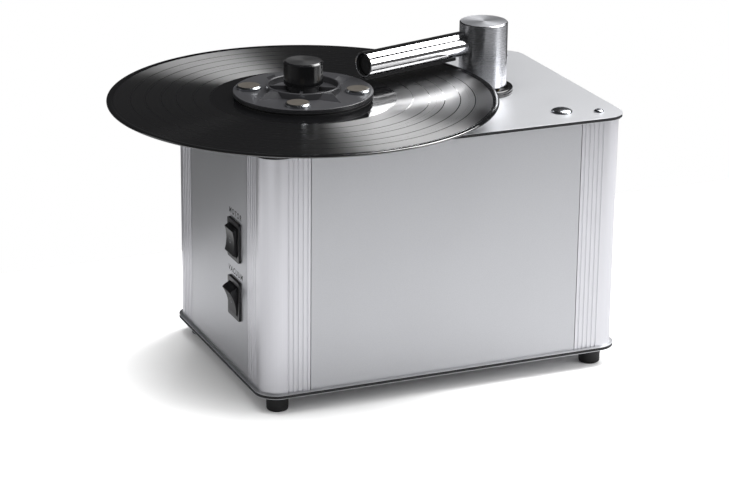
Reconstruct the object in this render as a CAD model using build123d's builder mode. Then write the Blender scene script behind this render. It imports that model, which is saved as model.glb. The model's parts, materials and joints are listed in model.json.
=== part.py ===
from build123d import *
import os
from math import cos, radians, sin, sqrt

# Record cleaning machine: a flat-panelled case with rounded corner posts carries a driven record
# spindle and a sprung suction arm. Under the top plate hang the gearmotor and the arm's bush.
# On the bottom plate stand the waste tank and the vacuum motor.
# Millimetres. +Z is up and Z = 0 is the surface that the feet stand on. +X runs along the case's
# long side, away from the switches. X = Y = 0 is the middle of the whole machine's box.

os.makedirs("parts", exist_ok=True)

# ---------------------------------------------------------------- fits and gaps
running_gap = 0.05        # radial clearance of a shaft, pipe or slide in its bore
seat_gap = 0.02           # radial clearance of a piece seated in or on another
free_gap = 0.4            # clearance of a piece that passes through a hole or past another
seam_gap = 0.6            # shadow joint between a panel and its corner post
dome_share = 0.85         # rounding of a domed head or pin, as a share of its height or radius
edge_share = 0.25         # rounding of a softened edge, as a share of the thickness there

# ---------------------------------------------------------------- case
case_l = 310.0            # plates, along X
case_w = 210.0            # plates, along Y
body_h = 196.6            # underside of the bottom plate to the top of the top plate
plate_t = 3.0
plate_corner_r = 18.0
panel_t = 3.0
face_inset = 3.0          # how far posts and panels stand back from the plates' edges
post_leg = 37.6           # corner post, length of each leg
post_depth = 10.0         # corner post, thickness of each leg
post_corner_r = 15.0
post_wall = 2.2
post_boss_r = 6.0
post_hole_x = 16.0        # screw hole from the post's two outer faces
post_hole_y = 15.0
tongue_l = 7.0            # tongue that backs the panel's edge
tongue_t = 2.0
groove_count = 5
groove_pitch = 3.9
groove_r = 0.75
groove_start = 2.6        # first groove from the leg's end

foot_h = 14.8
foot_top_r = 9.1
foot_bottom_r = 8.5
foot_edge_r = 1.2
foot_recess_r = 5.6
foot_recess_h = 7.0

corner_screw_r = 2.0
corner_head_r = 4.0
corner_head_h = 2.2
corner_screw_l = 18.0     # shank under the head
screw_core_gap = 0.1      # clearance of a screw in its threaded hole
screw_r = 1.5             # small machine screws
screw_head_r = 2.8
screw_head_h = 1.8
screw_l = 9.0
hex_across = 2.3          # hexagon socket, centre to corner
hex_depth = 1.4

bolt_r = 3.0              # carriage bolts that hold the tank bracket
bolt_head_r = 8.6
bolt_head_h = 3.2
bolt_shank_l = 16.0
bolt_nut_r = 5.6
bolt_nut_h = 5.0
bolt_from_right = 46.6
bolt_from_front = 28.0
bolt_spacing = 78.0

# ---------------------------------------------------------------- spindle, platter and record
spindle_from_left = 57.9
spindle_from_front = 62.6
shaft_r = 4.0
pin_r = 3.58              # top of the shaft, through the record's hole
pin_rise = 16.0           # pin above the record
bearing_r = 11.0
bearing_h = 7.0
race_w = 2.2              # inner race of a bearing, from its bore outwards
outer_race_w = 1.2
shield_recess = 0.4
housing_wall = 4.0
housing_depth = 34.0      # below the top plate
housing_flange_w = 11.0   # flange past the housing's wall
housing_flange_t = 4.0
neck_wall = 3.0
neck_rise = 3.0           # above the top plate
platter_gap = 6.0         # platter's underside above the top plate
platter_r = 53.0
platter_t = 14.0
hub_wall = 2.0
mat_inset = 3.0
mat_t = 2.7
record_r = 150.75
record_t = 1.9
record_rim_w = 4.25       # plain band at the record's edge
groove_recess = 0.25      # playing area below the record's edge and label

# ---------------------------------------------------------------- record clamp
clamp_r = 54.0
clamp_t = 3.2
clamp_seal_inset = 0.8
clamp_seal_w = 7.0
clamp_seal_t = 2.2
rim_groove_w = 0.9
rim_groove_depth = 1.0
clamp_ring_r = 28.8
clamp_ring_w = 2.0
clamp_ring_h = 5.0
clamp_boss_r = 12.0
clamp_boss_h = 5.6
web_count = 4
web_first_angle = 18.0
web_from_rim = 8.0        # web's tip from the disc's rim
web_base_w = 17.0
web_top_w = 8.5
web_step = 11.0           # how much shorter the web's upper edge is
web_drop = 0.5            # web's top below the ring's
spoke_w = 2.2
spoke_h = 3.0
insert_count = 4
insert_first_angle = 63.0
insert_from_rim = 12.0
insert_r = 9.8
insert_h = 4.2
insert_sunk = 1.6
insert_edge = 1.2
knob_r = 15.2
knob_h = 17.9
knob_edge = 1.6
knob_bore_spare = 2.0     # air over the pin's tip

# ---------------------------------------------------------------- gearmotor
coupling_wall = 5.0
coupling_h = 22.0
coupling_below_housing = 3.0
shaft_below_housing = 12.0
motor_shaft_r = 3.0
motor_shaft_play = 1.0    # between the two shafts' ends inside the coupling
bracket_w = 62.0
bracket_t = 2.5
bracket_below_coupling = 3.0
bracket_corner_r = 5.0
bracket_hole_inset = 6.0
bracket_window_r = 11.0
standoff_r = 4.0
gearbox_r = 24.0
gearbox_h = 20.0
gear_boss_r = 9.0
gear_boss_h = 2.0
motor_can_r = 22.0
motor_can_h = 18.0
can_edge = 1.8
capacitor_r = 15.0
capacitor_h = 48.0
capacitor_from_left = 130.0
capacitor_from_front = 30.0

# ---------------------------------------------------------------- suction arm
arm_from_right = 80.6
arm_from_front = 103.3
arm_angle = 16.4          # tube's direction at rest, from -X towards -Y
column_r = 19.4
column_wall = 4.8         # around the spring
column_over_tube = 7.3    # column's top above the tube's top
column_roof = 2.6         # between the spring's room and the tube's underside
column_edge = 0.8
column_foot_edge = 0.4
arm_travel = 4.7          # how far the arm comes down
arm_floor_gap = 1.9       # column's foot above the top plate, arm down
lip_rest_gap = 0.3        # lips above the record, arm down
pipe_r = 8.0
pipe_wall = 1.7
pipe_seat_h = 7.4
spring_wire_r = 0.8
spring_turns = 5
washer_inset = 0.8        # washer's edge inside the bush flange's
washer_t = 0.8
bush_wall = 2.45
bush_flange_gap = 0.6     # bush flange to the column's wall
bush_flange_t = 1.6
bush_below_plate = 17.0
bush_nut_w = 7.5          # nut's corners past its thread
bush_nut_h = 6.0
guide_ring_w = 4.4
guide_ring_gap = 1.0      # ring's inside to the column
guide_ring_h = 5.1
guide_ring_edge = 1.2
guide_groove_h = 1.0
guide_groove_depth = 0.8
collar_wall = 5.0
collar_h = 8.0
tube_r = 10.0
tube_wall = 1.2
tube_clamp_gap = 2.86     # tube's open end short of the clamp
tube_root_gap = 1.0       # tube's inner end beside the pipe
tube_offset = 6.0         # tube's axis beside the column's axis
slot_w = 2.5
slot_end = 3.4            # slot's outer end from the tube's open end
slot_start = 30.0         # slot's inner end from the column's axis
lip_w = 8.0
lip_drop = 1.6            # lips below the tube
lip_margin = 3.0          # lips past the slot's ends
plug_recess = 3.5
plug_l = 6.0

# ---------------------------------------------------------------- waste tank
tank_l = 118.0
tank_w = 118.0
tank_headroom = 50.6      # tank's rim to the top plate
tank_wall = 3.0
tank_corner_r = 8.0
tank_rim_w = 5.0
tank_rim_h = 4.0
tank_shift_y = 2.7        # tank's middle beside the arm's axis
gasket_t = 1.5
lid_t = 4.0
lid_screw_inset = 4.0     # from the rim's outer edge
gland_wall = 5.0
gland_h = 8.0
gland_edge = 1.5
pipe_dip = 18.0           # pipe below the lid
hold_down_w = 100.0
hold_down_t = 2.5
hold_down_lap = 14.0      # foot of the bracket over the lid
hold_down_flange = 16.0

# ---------------------------------------------------------------- vacuum motor and ducts
vacuum_from_front = 127.0
mount_ring_over = 6.0     # rubber ring past the motor's body
mount_ring_w = 9.0
mount_ring_h = 8.0
vacuum_body_r = 46.0
outlet_w = 46.0
outlet_z = 6.0            # outlet above the body's underside
outlet_under_fan = 4.0    # outlet's top below the fan housing
fan_r = 56.0
fan_share = 0.486         # fan housing's share of the vacuum motor's height
fan_edge = 5.0
fan_eye_r = 10.0
fan_eye_depth = 12.0
hold_ring_lap = 14.0      # ring over the fan's edge
hold_ring_t = 2.5
ring_under_gearmotor = 3.6
stud_r = 2.5
stud_gap = 1.5            # stud beside the fan
stud_edge = 1.5           # ring's rim past a stud
stud_first_angle = 30.0
stud_count = 3
stud_nut_w = 1.7          # nut's corners past the stud
stud_nut_h = 4.0
stud_over = 1.0
suction_r = 12.0
suction_wall = 2.0
suction_stub = 2.0        # straight end of the duct above the fan
suction_below_rim = 2.0   # duct's flange under the tank's rim
suction_flange_w = 4.0
suction_flange_t = 3.0
duct_wall = 2.0
outlet_bore_end = 24.0    # motor's axis to the end of the outlet's passage
grille_margin = 7.0       # grille past the outlet
grille_t = 1.8
grille_slot_w = 3.0
grille_slot_pitch = 6.0
grille_slot_count = 7
grille_screw_inset = 4.5

# ---------------------------------------------------------------- drain
drain_from_right = 115.0
drain_z = 28.0            # above the floor
drain_r = 5.5
drain_wall = 1.5
drain_reach = 14.0        # cap's end past the plates' back edge
drain_cap_wall = 2.45
drain_cap_end = 2.5
drain_cap_l = 12.5
drain_collar_w = 3.5
drain_collar_t = 3.0

# ---------------------------------------------------------------- switches
switch_from_front = 66.6
motor_switch_z = 110.4    # above the bottom plate's underside
vacuum_switch_z = 62.2
switch_w = 21.8
switch_h = 28.4
switch_depth = 22.0       # behind the panel's outer face
switch_wall = 1.8
bezel_margin = 1.75
bezel_t = 2.0
bezel_corner_r = 1.5
pocket_depth = 12.0
rocker_side_gap = 0.4
rocker_depth = 6.5        # rocker's back behind the panel's face
rocker_proud = 5.8        # rocker's ends past the panel's face
rocker_hollow = 1.5       # depth of the rocker's dished face
rocker_back_w = 18.2      # rocker's flat back
pivot_depth = 1.0
pivot_r = 1.5
pivot_l = 1.2             # pin beyond the rocker's side
rocker_tilt = 15.0        # one position to the next
blade_w = 4.8
blade_t = 0.8
blade_l = 4.0
blade_pitch = 9.5

# ---------------------------------------------------------------- mains inlet and terminals
inlet_from_right = 67.0
inlet_z = 60.0            # above the floor
inlet_w = 27.0
inlet_h = 46.0
inlet_depth = 28.0        # behind the panel's outer face
inlet_flange_margin = 2.0
inlet_flange_t = 2.4
socket_side = 1.3         # inlet's wall beside the socket
socket_h = 16.6
socket_depth = 20.0
socket_up = 10.0          # socket's middle above the inlet's middle
socket_corner = 4.0
contact_w = 4.0
contact_t = 2.0
contact_l = 15.0
contact_pitch = 7.0
earth_up = 3.5
drawer_side = 2.5         # inlet's wall beside the fuse drawer
drawer_h = 10.0
drawer_depth = 20.0
drawer_down = 11.5        # fuse drawer's middle below the inlet's middle
drawer_pull_h = 1.6       # finger slot in the drawer's face
drawer_pull_w = 11.0
drawer_pull_depth = 0.8
drawer_gap = 0.3
terminal_l = 44.0
terminal_w = 18.0
terminal_h = 15.0
terminal_from_left = 62.0
terminal_from_front = 30.0
terminal_count = 5
terminal_hole_r = 2.2
terminal_hole_h = 6.0

# ================================================================ worked-out levels and places
over_left = record_r - spindle_from_left
over_front = record_r - spindle_from_front
case_x0 = (over_left - case_l) / 2
case_y0 = (over_front - case_w - drain_reach) / 2
case_x1 = case_x0 + case_l
case_y1 = case_y0 + case_w
case_x = (case_x0 + case_x1) / 2
case_y = (case_y0 + case_y1) / 2

floor_top = foot_h + plate_t              # top of the bottom plate
roof_top = foot_h + body_h                # top of the top plate
roof_under = roof_top - plate_t
wall_h = roof_under - floor_top           # height of posts and panels

face_x0 = case_x0 + face_inset            # outer faces of the posts and panels
face_y0 = case_y0 + face_inset
face_x1 = case_x1 - face_inset
face_y1 = case_y1 - face_inset

spindle_x = case_x0 + spindle_from_left
spindle_y = case_y0 + spindle_from_front
race_r = shaft_r + race_w
shield_r = bearing_r - outer_race_w
housing_r = bearing_r + housing_wall
housing_flange_r = housing_r + housing_flange_w
neck_r = bearing_r + neck_wall
hub_r = shaft_r + hub_wall
mat_r = platter_r - mat_inset
record_hole_r = pin_r + running_gap
groove_outer_r = record_r - record_rim_w
platter_z = roof_top + platter_gap
record_z = platter_z + platter_t + mat_t  # record's underside
record_top = record_z + record_t
clamp_z = record_top + clamp_seal_t       # clamp disc's underside
clamp_top = clamp_z + clamp_t
clamp_seal_r = clamp_r - clamp_seal_inset
web_tip_r = clamp_r - web_from_rim
insert_circle_r = clamp_r - insert_from_rim
knob_z = clamp_top + clamp_boss_h
pin_tip = record_top + pin_rise

arm_x = case_x1 - arm_from_right
arm_y = case_y0 + arm_from_front
column_z = roof_top + arm_floor_gap + arm_travel
tube_z = record_top + lip_rest_gap + arm_travel + lip_drop + tube_r
column_h = tube_z + tube_r + column_over_tube - column_z
spring_ceiling = tube_z - tube_r - column_roof
spring_bore_r = column_r - column_wall
bush_flange_r = spring_bore_r - bush_flange_gap
washer_r = bush_flange_r - washer_inset
spring_mean_r = washer_r - washer_inset - spring_wire_r
bush_r = pipe_r + running_gap + bush_wall
bush_nut_r = bush_r + bush_nut_w
pipe_bore_r = pipe_r - pipe_wall
collar_r = pipe_r + collar_wall
gland_r = pipe_r + gland_wall
tube_root = pipe_r + tube_root_gap
arm_span = sqrt((arm_x - spindle_x) ** 2 + (arm_y - spindle_y) ** 2)
tube_reach = arm_span - clamp_r - tube_clamp_gap   # column's axis to the tube's open end
tube_dir_x = -cos(radians(arm_angle))
tube_dir_y = -sin(radians(arm_angle))

corner_screw_x = face_inset + post_hole_x
corner_screw_y = face_inset + post_hole_y
corner_points = [
    (case_x0 + corner_screw_x, case_y0 + corner_screw_y),
    (case_x0 + corner_screw_x, case_y1 - corner_screw_y),
    (case_x1 - corner_screw_x, case_y0 + corner_screw_y),
    (case_x1 - corner_screw_x, case_y1 - corner_screw_y),
]
bolt_y = case_y0 + bolt_from_front
bolt_points = [(case_x1 - bolt_from_right - step * bolt_spacing, bolt_y) for step in range(2)]

housing_bottom = roof_under - housing_depth
coupling_r = shaft_r + coupling_wall
coupling_top = housing_bottom - coupling_below_housing
coupling_bottom = coupling_top - coupling_h
bracket_top = coupling_bottom - bracket_below_coupling
gearbox_top = bracket_top - bracket_t
motor_can_top = gearbox_top - gearbox_h
bracket_hole_step = bracket_w - 2 * bracket_hole_inset
standoff_points = [
    (spindle_x + side * bracket_hole_step / 2, spindle_y + end * bracket_hole_step / 2)
    for side in (-1, 1)
    for end in (-1, 1)
]

bush_bottom = roof_under - bush_below_plate
bush_flange_top = roof_top + bush_flange_t
washer_top = bush_flange_top + washer_t

tank_x = arm_x
tank_y = arm_y + tank_shift_y
tank_x0 = tank_x - tank_l / 2
tank_y1 = tank_y + tank_w / 2
tank_top = roof_under - tank_headroom
tank_h = tank_top - floor_top
lid_z = tank_top + gasket_t
lid_top = lid_z + lid_t
lid_l = tank_l + 2 * tank_rim_w
lid_w = tank_w + 2 * tank_rim_w
lid_screw_dx = lid_l / 2 - lid_screw_inset
lid_screw_dy = lid_w / 2 - lid_screw_inset

vacuum_x = (face_x0 + panel_t + tank_x0) / 2
vacuum_y = case_y0 + vacuum_from_front
vacuum_z = floor_top + mount_ring_h
hold_ring_top = motor_can_top - motor_can_h - ring_under_gearmotor
fan_top = hold_ring_top - hold_ring_t
fan_h = (fan_top - vacuum_z) * fan_share
fan_z = fan_top - fan_h
vacuum_body_h = fan_z - vacuum_z
outlet_h = vacuum_body_h - outlet_z - outlet_under_fan
mount_ring_outer_r = vacuum_body_r + mount_ring_over
stud_circle_r = fan_r + stud_gap + stud_r
stud_nut_r = stud_r + stud_nut_w
hold_ring_outer_r = stud_circle_r + stud_r + stud_edge
hold_ring_inner_r = fan_r - hold_ring_lap
suction_flange_r = suction_r + suction_flange_w
suction_axis_z = tank_top - tank_rim_h - suction_below_rim - suction_flange_r
suction_bend_r = suction_axis_z - fan_top - suction_stub
outlet_bottom = vacuum_z + outlet_z

grille_l = outlet_w + 2 * grille_margin
grille_h = outlet_h + 2 * grille_margin

switch_y = case_y0 + switch_from_front
pocket_w = switch_w - 2 * switch_wall
pocket_h = switch_h - 2 * switch_wall
bezel_w = switch_w + 2 * bezel_margin
bezel_h = switch_h + 2 * bezel_margin

drain_x = case_x1 - drain_from_right
drain_end = case_y1 + drain_reach
drain_bore_r = drain_r - drain_wall
drain_cap_r = drain_r + running_gap + drain_cap_wall
drain_collar_r = drain_r + drain_collar_w

inlet_x = case_x1 - inlet_from_right
inlet_flange_w = inlet_w + 2 * inlet_flange_margin
inlet_flange_h = inlet_h + 2 * inlet_flange_margin
socket_w = inlet_w - 2 * socket_side
drawer_w = inlet_w - 2 * drawer_side


def upright(x, y):
    """Plane through a vertical axis, for profiles drawn as radius and height."""
    return Plane(origin=(x, y, 0), x_dir=(1, 0, 0), z_dir=(0, -1, 0))


def at_angle(centre_x, centre_y, radius, angle):
    """Point on a circle, the angle in degrees from +X."""
    return (centre_x + radius * cos(radians(angle)), centre_y + radius * sin(radians(angle)))


# ================================================================ case
with BuildPart() as bottom_plate:
    with BuildSketch(Plane((case_x, case_y, foot_h))):
        RectangleRounded(case_l, case_w, plate_corner_r)
    extrude(amount=plate_t)
    with BuildSketch(Plane((0, 0, foot_h))):
        with Locations(*corner_points):
            Circle(corner_screw_r + free_gap)
    extrude(amount=plate_t, mode=Mode.SUBTRACT)
bottom_plate.part.label = "bottom_plate"
export_step(bottom_plate.part, "parts/bottom_plate.step")

with BuildPart() as top_plate:
    with BuildSketch(Plane((case_x, case_y, roof_under))):
        RectangleRounded(case_l, case_w, plate_corner_r)
    extrude(amount=plate_t)
    with BuildSketch(Plane((0, 0, roof_under))):
        with Locations(*corner_points):
            Circle(corner_screw_r + free_gap)
        with Locations(*bolt_points):
            Circle(bolt_r + free_gap)
        with Locations((spindle_x, spindle_y)):
            Circle(neck_r + free_gap)
        with Locations((arm_x, arm_y)):
            Circle(bush_r + free_gap)
        with Locations(*standoff_points):
            Circle(screw_r + free_gap)
    extrude(amount=plate_t, mode=Mode.SUBTRACT)
top_plate.part.label = "top_plate"
export_step(top_plate.part, "parts/top_plate.step")

leg_align = (Align.MIN, Align.MIN)
cavity_l = post_leg - post_wall - post_hole_x - post_boss_r
groove_steps = [post_leg - groove_start - step * groove_pitch for step in range(groove_count)]
with BuildPart() as corner_post_front_left:
    with BuildSketch(Plane((face_x0, face_y0, floor_top))) as post_profile:
        Rectangle(post_leg, post_depth, align=leg_align)
        Rectangle(post_depth, post_leg, align=leg_align)
        Rectangle(post_hole_x, post_hole_y, align=leg_align)
        with Locations((post_hole_x, post_hole_y)):
            Circle(post_boss_r)
        with Locations((post_leg - post_wall, panel_t)):
            Rectangle(tongue_l + post_wall, tongue_t, align=leg_align)
        with Locations((panel_t, post_leg - post_wall)):
            Rectangle(tongue_t, tongue_l + post_wall, align=leg_align)
        outer_corner = post_profile.vertices().group_by(Axis.X)[0].sort_by(Axis.Y)[0]
        fillet(outer_corner, radius=post_corner_r)
        with Locations((post_leg - post_wall, post_wall)):
            Rectangle(
                cavity_l,
                post_depth - 2 * post_wall,
                align=(Align.MAX, Align.MIN),
                mode=Mode.SUBTRACT,
            )
        with Locations((post_wall, post_leg - post_wall)):
            Rectangle(
                post_depth - 2 * post_wall,
                cavity_l,
                align=(Align.MIN, Align.MAX),
                mode=Mode.SUBTRACT,
            )
        with Locations((post_hole_x, post_hole_y)):
            Circle(corner_screw_r + screw_core_gap, mode=Mode.SUBTRACT)
        with Locations(*[(step, 0) for step in groove_steps]):
            Circle(groove_r, mode=Mode.SUBTRACT)
        with Locations(*[(0, step) for step in groove_steps]):
            Circle(groove_r, mode=Mode.SUBTRACT)
    extrude(amount=wall_h)
corner_post_front_left.part.label = "corner_post_front_left"
export_step(corner_post_front_left.part, "parts/corner_post_front_left.step")

with BuildPart() as corner_post_front_right:
    mirror(corner_post_front_left.part, about=Plane.YZ.offset(case_x))
corner_post_front_right.part.label = "corner_post_front_right"
export_step(corner_post_front_right.part, "parts/corner_post_front_right.step")

with BuildPart() as corner_post_back_left:
    mirror(corner_post_front_left.part, about=Plane.XZ.offset(-case_y))
corner_post_back_left.part.label = "corner_post_back_left"
export_step(corner_post_back_left.part, "parts/corner_post_back_left.step")

with BuildPart() as corner_post_back_right:
    mirror(corner_post_front_right.part, about=Plane.XZ.offset(-case_y))
corner_post_back_right.part.label = "corner_post_back_right"
export_step(corner_post_back_right.part, "parts/corner_post_back_right.step")

long_panel_l = face_x1 - face_x0 - 2 * (post_leg + seam_gap)
short_panel_l = face_y1 - face_y0 - 2 * (post_leg + seam_gap)
with BuildPart() as front_panel:
    with BuildSketch(Plane((case_x, face_y0, floor_top))):
        Rectangle(long_panel_l, panel_t, align=(Align.CENTER, Align.MIN))
    extrude(amount=wall_h)
front_panel.part.label = "front_panel"
export_step(front_panel.part, "parts/front_panel.step")

with BuildPart() as right_panel:
    with BuildSketch(Plane((face_x1, case_y, floor_top))):
        Rectangle(panel_t, short_panel_l, align=(Align.MAX, Align.CENTER))
    extrude(amount=wall_h)
right_panel.part.label = "right_panel"
export_step(right_panel.part, "parts/right_panel.step")

switch_levels = (foot_h + motor_switch_z, foot_h + vacuum_switch_z)
left_face = Plane(origin=(face_x0, 0, 0), x_dir=(0, 1, 0), z_dir=(1, 0, 0))
with BuildPart() as left_panel:
    with BuildSketch(Plane((face_x0, case_y, floor_top))):
        Rectangle(panel_t, short_panel_l, align=(Align.MIN, Align.CENTER))
    extrude(amount=wall_h)
    with BuildSketch(left_face):
        with Locations(*[(switch_y, level) for level in switch_levels]):
            Rectangle(switch_w + free_gap, switch_h + free_gap)
    extrude(amount=panel_t, mode=Mode.SUBTRACT)
left_panel.part.label = "left_panel"
export_step(left_panel.part, "parts/left_panel.step")

back_face = Plane(origin=(0, face_y1, 0), x_dir=(1, 0, 0), z_dir=(0, -1, 0))
outlet_mid_z = outlet_bottom + outlet_h / 2
grille_screw_dx = grille_l / 2 - grille_screw_inset
grille_screw_dz = grille_h / 2 - grille_screw_inset
grille_screw_points = [
    (vacuum_x + side * grille_screw_dx, outlet_mid_z + end * grille_screw_dz)
    for side in (-1, 1)
    for end in (-1, 1)
]
with BuildPart() as back_panel:
    with BuildSketch(Plane((case_x, face_y1, floor_top))):
        Rectangle(long_panel_l, panel_t, align=(Align.CENTER, Align.MAX))
    extrude(amount=wall_h)
    with BuildSketch(back_face):
        with Locations((inlet_x, inlet_z)):
            Rectangle(inlet_w + free_gap, inlet_h + free_gap)
        with Locations((vacuum_x, outlet_mid_z)):
            Rectangle(outlet_w - 2 * duct_wall, outlet_h - 2 * duct_wall)
        with Locations((drain_x, drain_z)):
            Circle(drain_r + free_gap)
        with Locations(*grille_screw_points):
            Circle(screw_r + screw_core_gap)
    extrude(amount=panel_t, mode=Mode.SUBTRACT)
back_panel.part.label = "back_panel"
export_step(back_panel.part, "parts/back_panel.step")

with BuildPart() as feet:
    for corner_point in corner_points:
        with BuildSketch(Plane((*corner_point, 0))):
            Circle(foot_bottom_r)
        with BuildSketch(Plane((*corner_point, foot_h))):
            Circle(foot_top_r)
        loft()
    fillet(feet.edges().group_by(Axis.Z)[0], radius=foot_edge_r)
    with BuildSketch(Plane.XY):
        with Locations(*corner_points):
            Circle(foot_recess_r)
    extrude(amount=foot_recess_h, mode=Mode.SUBTRACT)
    with BuildSketch(Plane.XY):
        with Locations(*corner_points):
            Circle(corner_screw_r + free_gap)
    extrude(amount=foot_h, mode=Mode.SUBTRACT)
feet.part.label = "feet"
export_step(feet.part, "parts/feet.step")

foot_screw_l = foot_h - foot_recess_h + corner_screw_l
with BuildPart() as corner_screws:
    with BuildSketch(Plane((0, 0, roof_top))):
        with Locations(*corner_points):
            Circle(corner_head_r)
    extrude(amount=corner_head_h)
    fillet(corner_screws.edges().group_by(Axis.Z)[-1], radius=corner_head_h * dome_share)
    with BuildSketch(Plane((0, 0, roof_top + corner_head_h))):
        with Locations(*corner_points):
            RegularPolygon(hex_across, 6)
    extrude(amount=-hex_depth, mode=Mode.SUBTRACT)
    with BuildSketch(Plane((0, 0, roof_top))):
        with Locations(*corner_points):
            Circle(corner_screw_r)
    extrude(amount=-corner_screw_l)
    with BuildSketch(Plane((0, 0, foot_recess_h - corner_head_h))):
        with Locations(*corner_points):
            Circle(corner_head_r)
    extrude(amount=corner_head_h)
    with BuildSketch(Plane((0, 0, foot_recess_h))):
        with Locations(*corner_points):
            Circle(corner_screw_r)
    extrude(amount=foot_screw_l)
corner_screws.part.label = "corner_screws"
export_step(corner_screws.part, "parts/corner_screws.step")

with BuildPart() as carriage_bolts:
    with BuildSketch(Plane((0, 0, roof_top))):
        with Locations(*bolt_points):
            Circle(bolt_head_r)
    extrude(amount=bolt_head_h)
    fillet(carriage_bolts.edges().group_by(Axis.Z)[-1], radius=bolt_head_h * dome_share)
    with BuildSketch(Plane((0, 0, roof_top))):
        with Locations(*bolt_points):
            Circle(bolt_r)
    extrude(amount=-bolt_shank_l)
    with BuildSketch(Plane((0, 0, roof_under - hold_down_t))):
        with Locations(*bolt_points):
            RegularPolygon(bolt_nut_r, 6)
    extrude(amount=-bolt_nut_h)
carriage_bolts.part.label = "carriage_bolts"
export_step(carriage_bolts.part, "parts/carriage_bolts.step")

# ================================================================ spindle bearing
with BuildPart() as spindle_housing:
    with BuildSketch(Plane((spindle_x, spindle_y, housing_bottom))):
        Circle(housing_r)
    extrude(amount=housing_depth)
    with BuildSketch(Plane((spindle_x, spindle_y, roof_under - housing_flange_t))):
        Circle(housing_flange_r)
    extrude(amount=housing_flange_t)
    with BuildSketch(Plane((spindle_x, spindle_y, roof_under))):
        Circle(neck_r)
    extrude(amount=plate_t + neck_rise)
    with BuildSketch(Plane((spindle_x, spindle_y, housing_bottom))):
        Circle(race_r + free_gap)
    extrude(amount=housing_depth + plate_t + neck_rise, mode=Mode.SUBTRACT)
    with BuildSketch(Plane((spindle_x, spindle_y, housing_bottom))):
        Circle(bearing_r + seat_gap)
    extrude(amount=bearing_h, mode=Mode.SUBTRACT)
    with BuildSketch(Plane((spindle_x, spindle_y, roof_top + neck_rise))):
        Circle(bearing_r + seat_gap)
    extrude(amount=-bearing_h, mode=Mode.SUBTRACT)
spindle_housing.part.label = "spindle_housing"
export_step(spindle_housing.part, "parts/spindle_housing.step")

bearing_levels = (housing_bottom, roof_top + neck_rise - bearing_h)
with BuildPart() as spindle_bearings:
    for bearing_z in bearing_levels:
        with BuildSketch(Plane((spindle_x, spindle_y, bearing_z))):
            Circle(bearing_r)
            Circle(shaft_r + running_gap, mode=Mode.SUBTRACT)
        extrude(amount=bearing_h)
        with BuildSketch(Plane((spindle_x, spindle_y, bearing_z))):
            Circle(shield_r)
            Circle(race_r, mode=Mode.SUBTRACT)
        extrude(amount=shield_recess, mode=Mode.SUBTRACT)
        with BuildSketch(Plane((spindle_x, spindle_y, bearing_z + bearing_h))):
            Circle(shield_r)
            Circle(race_r, mode=Mode.SUBTRACT)
        extrude(amount=-shield_recess, mode=Mode.SUBTRACT)
spindle_bearings.part.label = "spindle_bearings"
export_step(spindle_bearings.part, "parts/spindle_bearings.step")

# ================================================================ platter body
shaft_bottom = housing_bottom - shaft_below_housing
with BuildPart() as spindle_shaft:
    with BuildSketch(Plane((spindle_x, spindle_y, shaft_bottom))):
        Circle(shaft_r)
    extrude(amount=platter_z + platter_t - shaft_bottom)
    with BuildSketch(Plane((spindle_x, spindle_y, platter_z + platter_t))):
        Circle(pin_r)
    extrude(amount=pin_tip - platter_z - platter_t)
    fillet(spindle_shaft.edges().group_by(Axis.Z)[-1], radius=pin_r * dome_share)
spindle_shaft.part.label = "spindle_shaft"
export_step(spindle_shaft.part, "parts/spindle_shaft.step")

with BuildPart() as platter:
    with BuildSketch(Plane((spindle_x, spindle_y, platter_z))):
        Circle(platter_r)
    extrude(amount=platter_t)
    fillet(platter.edges().group_by(Axis.Z)[0], radius=platter_t * edge_share)
    with BuildSketch(Plane((spindle_x, spindle_y, roof_top + neck_rise))):
        Circle(hub_r)
    extrude(amount=platter_gap - neck_rise)
    with BuildSketch(Plane((spindle_x, spindle_y, roof_top + neck_rise))):
        Circle(shaft_r + seat_gap)
    extrude(amount=platter_gap - neck_rise + platter_t, mode=Mode.SUBTRACT)
platter.part.label = "platter"
export_step(platter.part, "parts/platter.step")

with BuildPart() as platter_mat:
    with BuildSketch(Plane((spindle_x, spindle_y, platter_z + platter_t))):
        Circle(mat_r)
        Circle(shaft_r + seat_gap, mode=Mode.SUBTRACT)
    extrude(amount=mat_t)
platter_mat.part.label = "platter_mat"
export_step(platter_mat.part, "parts/platter_mat.step")

with BuildPart() as vinyl_record:
    with BuildSketch(Plane((spindle_x, spindle_y, record_z))):
        Circle(record_r)
        Circle(record_hole_r, mode=Mode.SUBTRACT)
    extrude(amount=record_t)
    rim_edges = vinyl_record.edges().filter_by(GeomType.CIRCLE).group_by(SortBy.RADIUS)[-1]
    fillet(rim_edges, radius=record_t * edge_share)
    with BuildSketch(Plane((spindle_x, spindle_y, record_top))):
        Circle(groove_outer_r)
        Circle(clamp_r + free_gap, mode=Mode.SUBTRACT)
    extrude(amount=-groove_recess, mode=Mode.SUBTRACT)
    with BuildSketch(Plane((spindle_x, spindle_y, record_z))):
        Circle(groove_outer_r)
        Circle(platter_r + free_gap, mode=Mode.SUBTRACT)
    extrude(amount=groove_recess, mode=Mode.SUBTRACT)
vinyl_record.part.label = "vinyl_record"
export_step(vinyl_record.part, "parts/vinyl_record.step")

motor_shaft_bottom = gearbox_top + gear_boss_h
with BuildPart() as drive_coupling:
    with BuildSketch(Plane((spindle_x, spindle_y, coupling_bottom))):
        Circle(coupling_r)
        Circle(motor_shaft_r + seat_gap, mode=Mode.SUBTRACT)
    extrude(amount=shaft_bottom - motor_shaft_play - coupling_bottom)
    with BuildSketch(Plane((spindle_x, spindle_y, shaft_bottom - motor_shaft_play))):
        Circle(coupling_r)
        Circle(shaft_r + seat_gap, mode=Mode.SUBTRACT)
    extrude(amount=coupling_top - shaft_bottom + motor_shaft_play)
drive_coupling.part.label = "drive_coupling"
export_step(drive_coupling.part, "parts/drive_coupling.step")

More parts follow.
